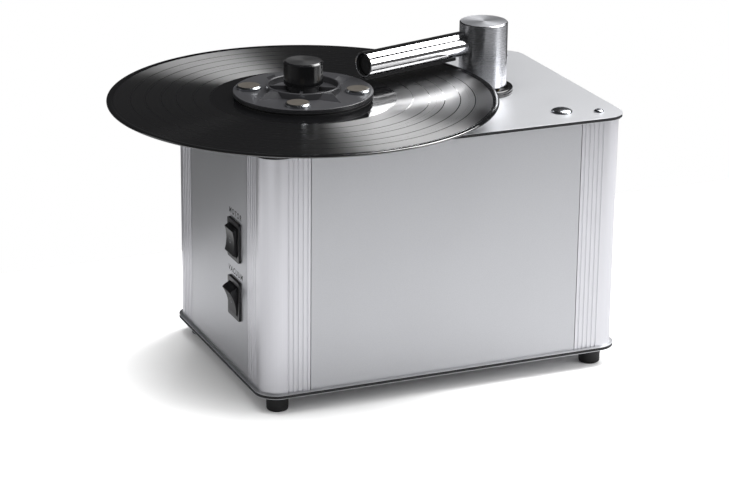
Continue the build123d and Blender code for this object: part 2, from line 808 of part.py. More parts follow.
with BuildPart() as gearmotor_shaft:
    with BuildSketch(Plane((spindle_x, spindle_y, motor_shaft_bottom))):
        Circle(motor_shaft_r)
    extrude(amount=shaft_bottom - motor_shaft_play - motor_shaft_bottom)
gearmotor_shaft.part.label = "gearmotor_shaft"
export_step(gearmotor_shaft.part, "parts/gearmotor_shaft.step")

# ================================================================ record clamp
with BuildPart() as clamp_seal:
    with BuildSketch(Plane((spindle_x, spindle_y, record_top))):
        Circle(clamp_seal_r)
        Circle(clamp_seal_r - clamp_seal_w, mode=Mode.SUBTRACT)
    extrude(amount=clamp_seal_t)
    with BuildSketch(Plane((spindle_x, spindle_y, record_top + clamp_seal_t / 2 - rim_groove_w / 2))):
        Circle(clamp_seal_r)
        Circle(clamp_seal_r - rim_groove_depth, mode=Mode.SUBTRACT)
    extrude(amount=rim_groove_w, mode=Mode.SUBTRACT)
clamp_seal.part.label = "clamp_seal"
export_step(clamp_seal.part, "parts/clamp_seal.step")

insert_points = [
    at_angle(spindle_x, spindle_y, insert_circle_r, insert_first_angle + step * 360 / insert_count)
    for step in range(insert_count)
]
web_angles = [web_first_angle + step * 360 / web_count for step in range(web_count)]
web_base_r = clamp_ring_r - clamp_ring_w / 2
spoke_l = clamp_ring_r - clamp_ring_w / 2 - clamp_boss_r + spoke_w / 2
with BuildPart() as clamp_disc:
    with BuildSketch(Plane((spindle_x, spindle_y, clamp_z))):
        Circle(clamp_r)
    extrude(amount=clamp_t)
    fillet(clamp_disc.edges().group_by(Axis.Z)[-1], radius=clamp_t * edge_share)
    with BuildSketch(Plane((spindle_x, spindle_y, clamp_z + clamp_t / 2 - rim_groove_w / 2))):
        Circle(clamp_r)
        Circle(clamp_r - rim_groove_depth, mode=Mode.SUBTRACT)
    extrude(amount=rim_groove_w, mode=Mode.SUBTRACT)
    with BuildSketch(Plane((spindle_x, spindle_y, clamp_top))):
        Circle(clamp_ring_r)
        Circle(clamp_ring_r - clamp_ring_w, mode=Mode.SUBTRACT)
    extrude(amount=clamp_ring_h)
    with BuildSketch(Plane((spindle_x, spindle_y, clamp_top))):
        Circle(clamp_boss_r)
    extrude(amount=clamp_boss_h)
    with BuildSketch(Plane((spindle_x, spindle_y, clamp_top))):
        with PolarLocations(clamp_boss_r - spoke_w / 2, web_count, web_first_angle + 180 / web_count):
            Rectangle(spoke_l, spoke_w, align=(Align.MIN, Align.CENTER))
    extrude(amount=spoke_h)
    for web_angle in web_angles:
        web_base = Plane((spindle_x, spindle_y, clamp_top)).rotated((0, 0, web_angle))
        with BuildSketch(web_base):
            with BuildLine():
                Polyline(
                    (web_base_r, -web_base_w / 2),
                    (web_tip_r, 0),
                    (web_base_r, web_base_w / 2),
                    close=True,
                )
            make_face()
        with BuildSketch(web_base.offset(clamp_ring_h - web_drop)):
            with BuildLine():
                Polyline(
                    (web_base_r, -web_top_w / 2),
                    (web_tip_r - web_step, 0),
                    (web_base_r, web_top_w / 2),
                    close=True,
                )
            make_face()
        loft()
    with BuildSketch(Plane((0, 0, clamp_top))):
        with Locations(*insert_points):
            Circle(insert_r + seat_gap)
    extrude(amount=-insert_sunk, mode=Mode.SUBTRACT)
    with BuildSketch(Plane((spindle_x, spindle_y, clamp_z))):
        Circle(pin_r + running_gap)
    extrude(amount=clamp_t + clamp_boss_h, mode=Mode.SUBTRACT)
clamp_disc.part.label = "clamp_disc"
export_step(clamp_disc.part, "parts/clamp_disc.step")

with BuildPart() as clamp_inserts:
    with BuildSketch(Plane((0, 0, clamp_top - insert_sunk))):
        with Locations(*insert_points):
            Circle(insert_r)
    extrude(amount=insert_h)
    chamfer(clamp_inserts.edges().group_by(Axis.Z)[-1], length=insert_edge)
clamp_inserts.part.label = "clamp_inserts"
export_step(clamp_inserts.part, "parts/clamp_inserts.step")

with BuildPart() as clamp_knob:
    with BuildSketch(Plane((spindle_x, spindle_y, knob_z))):
        Circle(knob_r)
    extrude(amount=knob_h)
    chamfer(clamp_knob.edges().group_by(Axis.Z)[-1], length=knob_edge)
    with BuildSketch(Plane((spindle_x, spindle_y, knob_z))):
        Circle(pin_r + running_gap)
    extrude(amount=pin_tip + knob_bore_spare - knob_z, mode=Mode.SUBTRACT)
clamp_knob.part.label = "clamp_knob"
export_step(clamp_knob.part, "parts/clamp_knob.step")

# ================================================================ gearmotor and its bracket
with BuildPart() as motor_bracket:
    with BuildSketch(Plane((spindle_x, spindle_y, gearbox_top))):
        RectangleRounded(bracket_w, bracket_w, bracket_corner_r)
        Circle(bracket_window_r, mode=Mode.SUBTRACT)
        with GridLocations(bracket_hole_step, bracket_hole_step, 2, 2):
            Circle(screw_r + screw_core_gap, mode=Mode.SUBTRACT)
    extrude(amount=bracket_t)
motor_bracket.part.label = "motor_bracket"
export_step(motor_bracket.part, "parts/motor_bracket.step")

standoff_h = roof_under - bracket_top
with BuildPart() as bracket_standoffs:
    with BuildSketch(Plane((spindle_x, spindle_y, bracket_top))):
        with GridLocations(bracket_hole_step, bracket_hole_step, 2, 2):
            Circle(standoff_r)
            Circle(screw_r + screw_core_gap, mode=Mode.SUBTRACT)
    extrude(amount=standoff_h)
bracket_standoffs.part.label = "bracket_standoffs"
export_step(bracket_standoffs.part, "parts/bracket_standoffs.step")

with BuildPart() as gearmotor:
    with BuildSketch(Plane((spindle_x, spindle_y, motor_can_top))):
        Circle(gearbox_r)
    extrude(amount=gearbox_h)
    with BuildSketch(Plane((spindle_x, spindle_y, gearbox_top))):
        Circle(gear_boss_r)
    extrude(amount=gear_boss_h)
    with BuildSketch(Plane((spindle_x, spindle_y, motor_can_top))):
        Circle(motor_can_r)
    extrude(amount=-motor_can_h)
    fillet(gearmotor.edges().group_by(Axis.Z)[0], radius=can_edge)
gearmotor.part.label = "gearmotor"
export_step(gearmotor.part, "parts/gearmotor.step")

capacitor_x = case_x0 + capacitor_from_left
capacitor_y = case_y0 + capacitor_from_front
with BuildPart() as motor_capacitor:
    with BuildSketch(Plane((capacitor_x, capacitor_y, floor_top))):
        Circle(capacitor_r)
    extrude(amount=capacitor_h)
    fillet(motor_capacitor.edges().group_by(Axis.Z)[-1], radius=can_edge)
motor_capacitor.part.label = "motor_capacitor"
export_step(motor_capacitor.part, "parts/motor_capacitor.step")

# ================================================================ suction arm
with BuildPart() as arm_bush:
    with BuildSketch(Plane((arm_x, arm_y, bush_bottom))):
        Circle(bush_r)
    extrude(amount=roof_top - bush_bottom)
    with BuildSketch(Plane((arm_x, arm_y, roof_top))):
        Circle(bush_flange_r)
    extrude(amount=bush_flange_t)
    with BuildSketch(Plane((arm_x, arm_y, bush_bottom))):
        Circle(pipe_r + running_gap)
    extrude(amount=bush_flange_top - bush_bottom, mode=Mode.SUBTRACT)
arm_bush.part.label = "arm_bush"
export_step(arm_bush.part, "parts/arm_bush.step")

with BuildPart() as arm_bush_nut:
    with BuildSketch(Plane((arm_x, arm_y, roof_under - bush_nut_h))):
        RegularPolygon(bush_nut_r, 6)
        Circle(bush_r + seat_gap, mode=Mode.SUBTRACT)
    extrude(amount=bush_nut_h)
arm_bush_nut.part.label = "arm_bush_nut"
export_step(arm_bush_nut.part, "parts/arm_bush_nut.step")

guide_inner_r = column_r + guide_ring_gap
guide_outer_r = guide_inner_r + guide_ring_w
with BuildPart() as arm_guide_ring:
    with BuildSketch(Plane((arm_x, arm_y, roof_top))):
        Circle(guide_outer_r)
        Circle(guide_inner_r, mode=Mode.SUBTRACT)
    extrude(amount=guide_ring_h)
    fillet(arm_guide_ring.edges().group_by(Axis.Z)[-1], radius=guide_ring_edge)
    with BuildSketch(Plane((arm_x, arm_y, roof_top + guide_ring_h / 2 - guide_groove_h / 2))):
        Circle(guide_outer_r)
        Circle(guide_outer_r - guide_groove_depth, mode=Mode.SUBTRACT)
    extrude(amount=guide_groove_h, mode=Mode.SUBTRACT)
arm_guide_ring.part.label = "arm_guide_ring"
export_step(arm_guide_ring.part, "parts/arm_guide_ring.step")

with BuildPart() as thrust_washer:
    with BuildSketch(Plane((arm_x, arm_y, bush_flange_top))):
        Circle(washer_r)
        Circle(pipe_r + free_gap, mode=Mode.SUBTRACT)
    extrude(amount=washer_t)
thrust_washer.part.label = "thrust_washer"
export_step(thrust_washer.part, "parts/thrust_washer.step")

spring_h = spring_ceiling - washer_top
spring_pitch = (spring_h - 2 * spring_wire_r) / spring_turns
with BuildPart() as lift_spring:
    with BuildLine():
        spring_path = Helix(
            pitch=spring_pitch,
            height=spring_pitch * spring_turns,
            radius=spring_mean_r,
            center=(arm_x, arm_y, washer_top + spring_wire_r),
        )
    with BuildSketch(Plane(spring_path @ 0, z_dir=spring_path % 0)):
        Circle(spring_wire_r)
    sweep(is_frenet=True)
lift_spring.part.label = "lift_spring"
export_step(lift_spring.part, "parts/lift_spring.step")

pipe_top = spring_ceiling + pipe_seat_h
pipe_bottom = lid_z - pipe_dip
with BuildPart() as arm_pipe:
    with BuildSketch(Plane((arm_x, arm_y, pipe_bottom))):
        Circle(pipe_r)
        Circle(pipe_bore_r, mode=Mode.SUBTRACT)
    extrude(amount=pipe_top - pipe_bottom)
arm_pipe.part.label = "arm_pipe"
export_step(arm_pipe.part, "parts/arm_pipe.step")

with BuildPart() as arm_stop_collar:
    with BuildSketch(Plane((arm_x, arm_y, bush_bottom))):
        Circle(collar_r)
        Circle(pipe_r + seat_gap, mode=Mode.SUBTRACT)
    extrude(amount=-collar_h)
arm_stop_collar.part.label = "arm_stop_collar"
export_step(arm_stop_collar.part, "parts/arm_stop_collar.step")


def tube_plane(distance):
    """Plane across the arm tube, at a distance from the column's axis, facing its open end."""
    return Plane(
        origin=(
            arm_x + tube_dir_x * distance + tube_dir_y * tube_offset,
            arm_y + tube_dir_y * distance - tube_dir_x * tube_offset,
            tube_z,
        ),
        x_dir=(-tube_dir_y, tube_dir_x, 0),
        z_dir=(tube_dir_x, tube_dir_y, 0),
    )

with BuildPart() as arm_column:
    with BuildSketch(Plane((arm_x, arm_y, column_z))):
        Circle(column_r)
    extrude(amount=column_h)
    chamfer(arm_column.edges().group_by(Axis.Z)[-1], length=column_edge)
    chamfer(arm_column.edges().group_by(Axis.Z)[0], length=column_foot_edge)
    with BuildSketch(Plane((arm_x, arm_y, column_z))):
        Circle(spring_bore_r)
    extrude(amount=spring_ceiling - column_z, mode=Mode.SUBTRACT)
    with BuildSketch(Plane((arm_x, arm_y, spring_ceiling))):
        Circle(pipe_r + seat_gap)
    extrude(amount=pipe_seat_h, mode=Mode.SUBTRACT)
    with BuildSketch(Plane((arm_x, arm_y, pipe_top))):
        Circle(pipe_bore_r)
    extrude(amount=tube_z - pipe_top, mode=Mode.SUBTRACT)
    with BuildSketch(tube_plane(tube_root)):
        Circle(tube_r + seat_gap)
    extrude(amount=column_r, mode=Mode.SUBTRACT)
    with BuildSketch(tube_plane(0)):
        Circle(tube_r - tube_wall)
    extrude(amount=tube_root, mode=Mode.SUBTRACT)
arm_column.part.label = "arm_column"
export_step(arm_column.part, "parts/arm_column.step")

slot_l = tube_reach - slot_end - slot_start
slot_plane = Plane(
    origin=tube_plane(slot_start).origin,
    x_dir=(tube_dir_x, tube_dir_y, 0),
    z_dir=(0, 0, -1),
)
with BuildPart() as arm_tube:
    with BuildSketch(tube_plane(tube_root)):
        Circle(tube_r)
        Circle(tube_r - tube_wall, mode=Mode.SUBTRACT)
    extrude(amount=tube_reach - tube_root)
    with BuildSketch(slot_plane):
        Rectangle(slot_l, slot_w, align=(Align.MIN, Align.CENTER))
    extrude(amount=tube_r, mode=Mode.SUBTRACT)
arm_tube.part.label = "arm_tube"
export_step(arm_tube.part, "parts/arm_tube.step")

with BuildPart() as arm_end_plug:
    with BuildSketch(tube_plane(tube_reach - plug_recess)):
        Circle(tube_r - tube_wall - seat_gap)
    extrude(amount=-plug_l)
arm_end_plug.part.label = "arm_end_plug"
export_step(arm_end_plug.part, "parts/arm_end_plug.step")

lip_bottom = -tube_r - lip_drop
lip_start = slot_start - lip_margin
lip_l = slot_l + 2 * lip_margin
with BuildPart() as arm_lips:
    with BuildSketch(tube_plane(lip_start)):
        with Locations((0, lip_bottom)):
            Rectangle(lip_w, tube_r + lip_drop, align=(Align.CENTER, Align.MIN))
            Rectangle(slot_w, tube_r + lip_drop, align=(Align.CENTER, Align.MIN), mode=Mode.SUBTRACT)
        Circle(tube_r + seat_gap, mode=Mode.SUBTRACT)
    extrude(amount=lip_l)
arm_lips.part.label = "arm_lips"
export_step(arm_lips.part, "parts/arm_lips.step")

# ================================================================ waste tank
suction_port_r = suction_r - suction_wall
tank_left_face = Plane(origin=(tank_x0, vacuum_y, suction_axis_z), x_dir=(0, 1, 0), z_dir=(1, 0, 0))
drain_face = Plane(origin=(drain_x, tank_y1, drain_z), x_dir=(-1, 0, 0), z_dir=(0, 1, 0))
spigot_l = drain_end - drain_cap_end - tank_y1
lid_screw_points = [
    (tank_x + side * lid_screw_dx, tank_y + end * lid_screw_dy) for side in (-1, 1) for end in (-1, 0, 1)
]
with BuildPart() as waste_tank:
    with BuildSketch(Plane((tank_x, tank_y, floor_top))):
        RectangleRounded(tank_l, tank_w, tank_corner_r)
    extrude(amount=tank_h)
    with BuildSketch(Plane((tank_x, tank_y, tank_top - tank_rim_h))):
        RectangleRounded(lid_l, lid_w, tank_corner_r)
    extrude(amount=tank_rim_h)
    with BuildSketch(Plane((tank_x, tank_y, floor_top + tank_wall))):
        RectangleRounded(tank_l - 2 * tank_wall, tank_w - 2 * tank_wall, tank_corner_r - tank_wall)
    extrude(amount=tank_h - tank_wall, mode=Mode.SUBTRACT)
    with BuildSketch(tank_left_face):
        Circle(suction_port_r)
    extrude(amount=tank_wall, mode=Mode.SUBTRACT)
    with BuildSketch(drain_face):
        Circle(drain_collar_r)
    extrude(amount=drain_collar_t)
    with BuildSketch(drain_face):
        Circle(drain_r)
    extrude(amount=spigot_l)
    with BuildSketch(drain_face.offset(-tank_wall)):
        Circle(drain_bore_r)
    extrude(amount=tank_wall + spigot_l, mode=Mode.SUBTRACT)
    with BuildSketch(Plane((0, 0, tank_top))):
        with Locations(*lid_screw_points):
            Circle(screw_r + screw_core_gap)
    extrude(amount=-tank_rim_h, mode=Mode.SUBTRACT)
waste_tank.part.label = "waste_tank"
export_step(waste_tank.part, "parts/waste_tank.step")

with BuildPart() as tank_gasket:
    with BuildSketch(Plane((tank_x, tank_y, tank_top))):
        RectangleRounded(lid_l, lid_w, tank_corner_r)
        RectangleRounded(
            tank_l - 2 * tank_wall,
            tank_w - 2 * tank_wall,
            tank_corner_r - tank_wall,
            mode=Mode.SUBTRACT,
        )
    extrude(amount=gasket_t)
    with BuildSketch(Plane((0, 0, tank_top))):
        with Locations(*lid_screw_points):
            Circle(screw_r + screw_core_gap)
    extrude(amount=gasket_t, mode=Mode.SUBTRACT)
tank_gasket.part.label = "tank_gasket"
export_step(tank_gasket.part, "parts/tank_gasket.step")

with BuildPart() as tank_lid:
    with BuildSketch(Plane((tank_x, tank_y, lid_z))):
        RectangleRounded(lid_l, lid_w, tank_corner_r)
    extrude(amount=lid_t)
    with BuildSketch(Plane((arm_x, arm_y, lid_top))):
        Circle(gland_r)
    extrude(amount=gland_h)
    chamfer(tank_lid.edges().group_by(Axis.Z)[-1], length=gland_edge)
    with BuildSketch(Plane((arm_x, arm_y, lid_z))):
        Circle(pipe_r + running_gap)
    extrude(amount=lid_t + gland_h, mode=Mode.SUBTRACT)
    with BuildSketch(Plane((0, 0, lid_z))):
        with Locations(*lid_screw_points):
            Circle(screw_r + screw_core_gap)
    extrude(amount=lid_t, mode=Mode.SUBTRACT)
tank_lid.part.label = "tank_lid"
export_step(tank_lid.part, "parts/tank_lid.step")

hold_down_x = (bolt_points[0][0] + bolt_points[1][0]) / 2
lid_y0 = tank_y - lid_w / 2
web_y = bolt_y + hold_down_flange / 2
with BuildPart() as tank_bracket:
    with BuildSketch(Plane((hold_down_x, bolt_y, roof_under))):
        Rectangle(hold_down_w, hold_down_flange)
        with Locations((-bolt_spacing / 2, 0), (bolt_spacing / 2, 0)):
            Circle(bolt_r + free_gap, mode=Mode.SUBTRACT)
    extrude(amount=-hold_down_t)
    with BuildSketch(Plane((hold_down_x, web_y, lid_top))):
        Rectangle(hold_down_w, hold_down_t, align=(Align.CENTER, Align.MAX))
    extrude(amount=roof_under - lid_top)
    with BuildSketch(Plane((hold_down_x, web_y - hold_down_t, lid_top))):
        Rectangle(hold_down_w, lid_y0 + hold_down_lap - web_y + hold_down_t, align=(Align.CENTER, Align.MIN))
    extrude(amount=hold_down_t)
tank_bracket.part.label = "tank_bracket"
export_step(tank_bracket.part, "parts/tank_bracket.step")

# ================================================================ drain
cap_face = Plane(origin=(drain_x, drain_end, drain_z), x_dir=(1, 0, 0), z_dir=(0, -1, 0))
with BuildPart() as drain_cap:
    with BuildSketch(cap_face):
        Circle(drain_cap_r)
    extrude(amount=drain_cap_l)
    fillet(drain_cap.edges().group_by(Axis.Y)[-1], radius=drain_cap_end * edge_share)
    with BuildSketch(cap_face.offset(drain_cap_end)):
        Circle(drain_r + running_gap)
    extrude(amount=drain_cap_l - drain_cap_end, mode=Mode.SUBTRACT)
drain_cap.part.label = "drain_cap"
export_step(drain_cap.part, "parts/drain_cap.step")

# ================================================================ vacuum motor
with BuildPart() as motor_mount_ring:
    with BuildSketch(Plane((vacuum_x, vacuum_y, floor_top))):
        Circle(mount_ring_outer_r)
        Circle(mount_ring_outer_r - mount_ring_w, mode=Mode.SUBTRACT)
    extrude(amount=mount_ring_h)
motor_mount_ring.part.label = "motor_mount_ring"
export_step(motor_mount_ring.part, "parts/motor_mount_ring.step")

outlet_bore_w = outlet_w - 2 * duct_wall
outlet_bore_h = outlet_h - 2 * duct_wall
outlet_face = Plane(origin=(vacuum_x, face_y1 - panel_t, outlet_mid_z), x_dir=(1, 0, 0), z_dir=(0, -1, 0))
outlet_l = face_y1 - panel_t - vacuum_y
with BuildPart() as vacuum_motor:
    with BuildSketch(Plane((vacuum_x, vacuum_y, vacuum_z))):
        Circle(vacuum_body_r)
    extrude(amount=vacuum_body_h)
    with BuildSketch(outlet_face):
        Rectangle(outlet_w, outlet_h)
    extrude(amount=outlet_l)
    with BuildSketch(outlet_face):
        Rectangle(outlet_bore_w, outlet_bore_h)
    extrude(amount=outlet_l - outlet_bore_end, mode=Mode.SUBTRACT)
vacuum_motor.part.label = "vacuum_motor"
export_step(vacuum_motor.part, "parts/vacuum_motor.step")

with BuildPart() as fan_housing:
    with BuildSketch(Plane((vacuum_x, vacuum_y, fan_z))):
        Circle(fan_r)
    extrude(amount=fan_h)
    fillet(fan_housing.edges().group_by(Axis.Z)[-1], radius=fan_edge)
    with BuildSketch(Plane((vacuum_x, vacuum_y, fan_top))):
        Circle(fan_eye_r)
    extrude(amount=-fan_eye_depth, mode=Mode.SUBTRACT)
fan_housing.part.label = "fan_housing"
export_step(fan_housing.part, "parts/fan_housing.step")

stud_points = [
    at_angle(vacuum_x, vacuum_y, stud_circle_r, stud_first_angle + step * 360 / stud_count)
    for step in range(stud_count)
]
with BuildPart() as motor_hold_down:
    with BuildSketch(Plane((vacuum_x, vacuum_y, fan_top))):
        Circle(hold_ring_outer_r)
        Circle(hold_ring_inner_r, mode=Mode.SUBTRACT)
    extrude(amount=hold_ring_t)
    with BuildSketch(Plane((0, 0, floor_top))):
        with Locations(*stud_points):
            Circle(stud_r)
    extrude(amount=hold_ring_top + stud_nut_h + stud_over - floor_top)
    with BuildSketch(Plane((0, 0, hold_ring_top))):
        with Locations(*stud_points):
            RegularPolygon(stud_nut_r, 6)
    extrude(amount=stud_nut_h)
motor_hold_down.part.label = "motor_hold_down"
export_step(motor_hold_down.part, "parts/motor_hold_down.step")

suction_start = (tank_x0, vacuum_y, suction_axis_z)
suction_corner = (vacuum_x, vacuum_y, suction_axis_z)
suction_end = (vacuum_x, vacuum_y, fan_top)
with BuildPart() as suction_duct:
    with BuildLine() as suction_path:
        FilletPolyline(suction_start, suction_corner, suction_end, radius=suction_bend_r)
    with BuildSketch(Plane(origin=suction_start, x_dir=(0, 1, 0), z_dir=(-1, 0, 0))):
        Circle(suction_r)
        Circle(suction_r - suction_wall, mode=Mode.SUBTRACT)
    sweep(path=suction_path.wires()[0])
    with BuildSketch(Plane(origin=suction_start, x_dir=(0, 1, 0), z_dir=(-1, 0, 0))):
        Circle(suction_flange_r)
        Circle(suction_r - suction_wall, mode=Mode.SUBTRACT)
    extrude(amount=suction_flange_t)
suction_duct.part.label = "suction_duct"
export_step(suction_duct.part, "parts/suction_duct.step")

with BuildPart() as exhaust_grille:
    with BuildSketch(back_face):
        with Locations((vacuum_x, outlet_mid_z)):
            Rectangle(grille_l, grille_h)
            with GridLocations(grille_slot_pitch, 0, grille_slot_count, 1):
                Rectangle(grille_slot_w, outlet_bore_h, mode=Mode.SUBTRACT)
        with Locations(*grille_screw_points):
            Circle(screw_r + screw_core_gap, mode=Mode.SUBTRACT)
    extrude(amount=-grille_t)
exhaust_grille.part.label = "exhaust_grille"
export_step(exhaust_grille.part, "parts/exhaust_grille.step")

# ================================================================ switches
pivot_x = face_x0 + pivot_depth
rocker_w = pocket_w - 2 * rocker_side_gap
rocker_end_r = pocket_h / 2 - rocker_side_gap
rocker_front = rocker_proud + pivot_depth
rocker_back = rocker_depth - pivot_depth
rocker_tip = sqrt(rocker_end_r**2 - rocker_front**2)
rocker_root = rocker_back_w / 2
switch_tilts = {"motor": 0.0, "vacuum": rocker_tilt}
for (switch_name, rest_tilt), switch_level in zip(switch_tilts.items(), switch_levels):
    with BuildPart() as switch_body:
        with BuildSketch(left_face):
            with Locations((switch_y, switch_level)):
                Rectangle(switch_w, switch_h)
        extrude(amount=switch_depth)
        with BuildSketch(left_face):
            with Locations((switch_y, switch_level)):
                RectangleRounded(bezel_w, bezel_h, bezel_corner_r)
        extrude(amount=-bezel_t)
        with BuildSketch(left_face.offset(-bezel_t)):
            with Locations((switch_y, switch_level)):
                Rectangle(pocket_w, pocket_h)
        extrude(amount=bezel_t + pocket_depth, mode=Mode.SUBTRACT)
        with BuildSketch(Plane(origin=(pivot_x, switch_y, switch_level), x_dir=(1, 0, 0), z_dir=(0, 1, 0))):
            Circle(pivot_r + running_gap)
        extrude(amount=pocket_w / 2 + pivot_l, both=True, mode=Mode.SUBTRACT)
        with BuildSketch(left_face.offset(switch_depth)):
            with Locations((switch_y, switch_level)):
                with GridLocations(0, blade_pitch, 1, 3):
                    Rectangle(blade_t, blade_w)
        extrude(amount=blade_l)
    switch_body.part.label = switch_name + "_switch"
    export_step(switch_body.part, f"parts/{switch_name}_switch.step")

    rocker_normal = (-cos(radians(rest_tilt)), 0, -sin(radians(rest_tilt)))
    rocker_profile = Plane(origin=(pivot_x, switch_y, switch_level), x_dir=rocker_normal, z_dir=(0, 1, 0))
    with BuildPart() as rocker:
        with BuildSketch(rocker_profile):
            with BuildLine():
                front = ThreePointArc(
                    (rocker_front, -rocker_tip),
                    (rocker_front - rocker_hollow, 0),
                    (rocker_front, rocker_tip),
                )
                upper_end = ThreePointArc(
                    (rocker_front, rocker_tip),
                    (0, rocker_end_r),
                    (-rocker_back / 2, sqrt(rocker_end_r**2 - rocker_back**2 / 4)),
                )
                Polyline(
                    upper_end @ 1,
                    (-rocker_back, rocker_root),
                    (-rocker_back, -rocker_root),
                    (-rocker_back / 2, -sqrt(rocker_end_r**2 - rocker_back**2 / 4)),
                )
                ThreePointArc(
                    (-rocker_back / 2, -sqrt(rocker_end_r**2 - rocker_back**2 / 4)),
                    (0, -rocker_end_r),
                    front @ 0,
                )
            make_face()
        extrude(amount=rocker_w / 2, both=True)
        with BuildSketch(rocker_profile):
            Circle(pivot_r)
        extrude(amount=rocker_w / 2 + rocker_side_gap + pivot_l - free_gap, both=True)
    rocker.part.label = switch_name + "_rocker"
    export_step(rocker.part, f"parts/{switch_name}_rocker.step")

# ================================================================ small machine screws
screw_seats = [Plane((*point, roof_top)) for point in standoff_points]
screw_seats += [Plane(origin=(*point, gearbox_top), z_dir=(0, 0, -1)) for point in standoff_points]
screw_seats += [Plane((*point, lid_top)) for point in lid_screw_points]
screw_seats += [Plane(origin=(x, face_y1 + grille_t, z), z_dir=(0, 1, 0)) for x, z in grille_screw_points]
with BuildPart() as machine_screws:
    for screw_seat in screw_seats:
        with BuildSketch(screw_seat):
            Circle(screw_head_r)
        extrude(amount=screw_head_h)
        with BuildSketch(screw_seat):
            Circle(screw_r)
        extrude(amount=-screw_l)
machine_screws.part.label = "machine_screws"
export_step(machine_screws.part, "parts/machine_screws.step")

# ================================================================ mains inlet
inlet_face = Plane(origin=(inlet_x, face_y1, inlet_z), x_dir=(1, 0, 0), z_dir=(0, -1, 0))
with BuildPart() as mains_inlet:
    with BuildSketch(inlet_face):
        Rectangle(inlet_w, inlet_h)
    extrude(amount=inlet_depth)
    with BuildSketch(inlet_face):
        RectangleRounded(inlet_flange_w, inlet_flange_h, bezel_corner_r)
    extrude(amount=-inlet_flange_t)
    with BuildSketch(inlet_face.offset(-inlet_flange_t)) as socket_mouth:
        with Locations((0, socket_up)):
            Rectangle(socket_w, socket_h)
        chamfer(socket_mouth.vertices().group_by(Axis.Y)[-1], length=socket_corner)
    extrude(amount=inlet_flange_t + socket_depth, mode=Mode.SUBTRACT)
    with BuildSketch(inlet_face.offset(-inlet_flange_t)):
        with Locations((0, -drawer_down)):
            Rectangle(drawer_w, drawer_h)
    extrude(amount=inlet_flange_t + drawer_depth, mode=Mode.SUBTRACT)
mains_inlet.part.label = "mains_inlet"
export_step(mains_inlet.part, "parts/mains_inlet.step")

with BuildPart() as inlet_contacts:
    with BuildSketch(inlet_face.offset(socket_depth)):
        with Locations(
            (-contact_pitch, socket_up - earth_up / 2),
            (contact_pitch, socket_up - earth_up / 2),
            (0, socket_up + earth_up / 2),
        ):
            Rectangle(contact_t, contact_w)
    extrude(amount=-contact_l)
inlet_contacts.part.label = "inlet_contacts"
export_step(inlet_contacts.part, "parts/inlet_contacts.step")

with BuildPart() as fuse_drawer:
    with BuildSketch(inlet_face.offset(-inlet_flange_t)):
        with Locations((0, -drawer_down)):
            Rectangle(drawer_w - 2 * drawer_gap, drawer_h - 2 * drawer_gap)
    extrude(amount=inlet_flange_t + drawer_depth - drawer_gap)
    with BuildSketch(inlet_face.offset(-inlet_flange_t)):
        with Locations((0, -drawer_down)):
            Rectangle(drawer_pull_w, drawer_pull_h)
    extrude(amount=drawer_pull_depth, mode=Mode.SUBTRACT)
fuse_drawer.part.label = "fuse_drawer"
export_step(fuse_drawer.part, "parts/fuse_drawer.step")

terminal_x = case_x0 + terminal_from_left
terminal_y = case_y0 + terminal_from_front
terminal_pitch = terminal_l / terminal_count
with BuildPart() as terminal_block:
    with BuildSketch(Plane((terminal_x, terminal_y, floor_top))):
        Rectangle(terminal_l, terminal_w)
    extrude(amount=terminal_h)
    with BuildSketch(Plane((terminal_x, terminal_y, floor_top + terminal_h))):
        with GridLocations(terminal_pitch, terminal_w / 2, terminal_count, 2):
            Circle(terminal_hole_r)
    extrude(amount=-terminal_hole_h, mode=Mode.SUBTRACT)
terminal_block.part.label = "terminal_block"
export_step(terminal_block.part, "parts/terminal_block.step")
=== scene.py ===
"""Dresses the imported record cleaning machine: its show pieces, its finishes and a plain studio."""

import json
from math import cos, hypot, pi, radians, sin

import bpy
from bpy.props import FloatProperty, FloatVectorProperty, IntProperty, PointerProperty
from mathutils import Matrix, Vector

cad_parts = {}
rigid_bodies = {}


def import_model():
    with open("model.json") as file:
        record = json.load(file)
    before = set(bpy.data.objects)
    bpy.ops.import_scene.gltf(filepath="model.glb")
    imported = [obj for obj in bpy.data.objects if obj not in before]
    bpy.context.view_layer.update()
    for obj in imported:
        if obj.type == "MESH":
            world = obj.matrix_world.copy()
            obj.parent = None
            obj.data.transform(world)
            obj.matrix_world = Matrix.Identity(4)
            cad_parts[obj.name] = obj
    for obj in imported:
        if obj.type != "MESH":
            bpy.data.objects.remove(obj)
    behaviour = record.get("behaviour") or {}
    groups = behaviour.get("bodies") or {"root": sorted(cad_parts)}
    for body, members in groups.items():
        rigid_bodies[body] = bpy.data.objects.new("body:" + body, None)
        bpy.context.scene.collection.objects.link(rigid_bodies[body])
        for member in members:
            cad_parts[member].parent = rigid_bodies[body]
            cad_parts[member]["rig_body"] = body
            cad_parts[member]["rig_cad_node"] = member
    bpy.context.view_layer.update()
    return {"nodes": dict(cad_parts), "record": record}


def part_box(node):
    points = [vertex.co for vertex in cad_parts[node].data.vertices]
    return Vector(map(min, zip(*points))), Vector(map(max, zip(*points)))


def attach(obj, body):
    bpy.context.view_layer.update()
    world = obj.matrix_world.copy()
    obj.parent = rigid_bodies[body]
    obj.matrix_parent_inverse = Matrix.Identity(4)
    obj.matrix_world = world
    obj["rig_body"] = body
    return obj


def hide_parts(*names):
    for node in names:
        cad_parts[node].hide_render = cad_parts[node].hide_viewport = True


bl_info = {
    "name": "Record cleaning machine",
    "version": (1, 0, 0),
    "blender": (4, 5, 0),
    "location": "View3D > Sidebar > Record Washer",
    "description": "Builds the show pieces, finishes and studio of a record cleaning machine",
    "category": "Add Mesh",
}

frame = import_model()

MM = 0.001
UP = Vector((0, 0, 1))


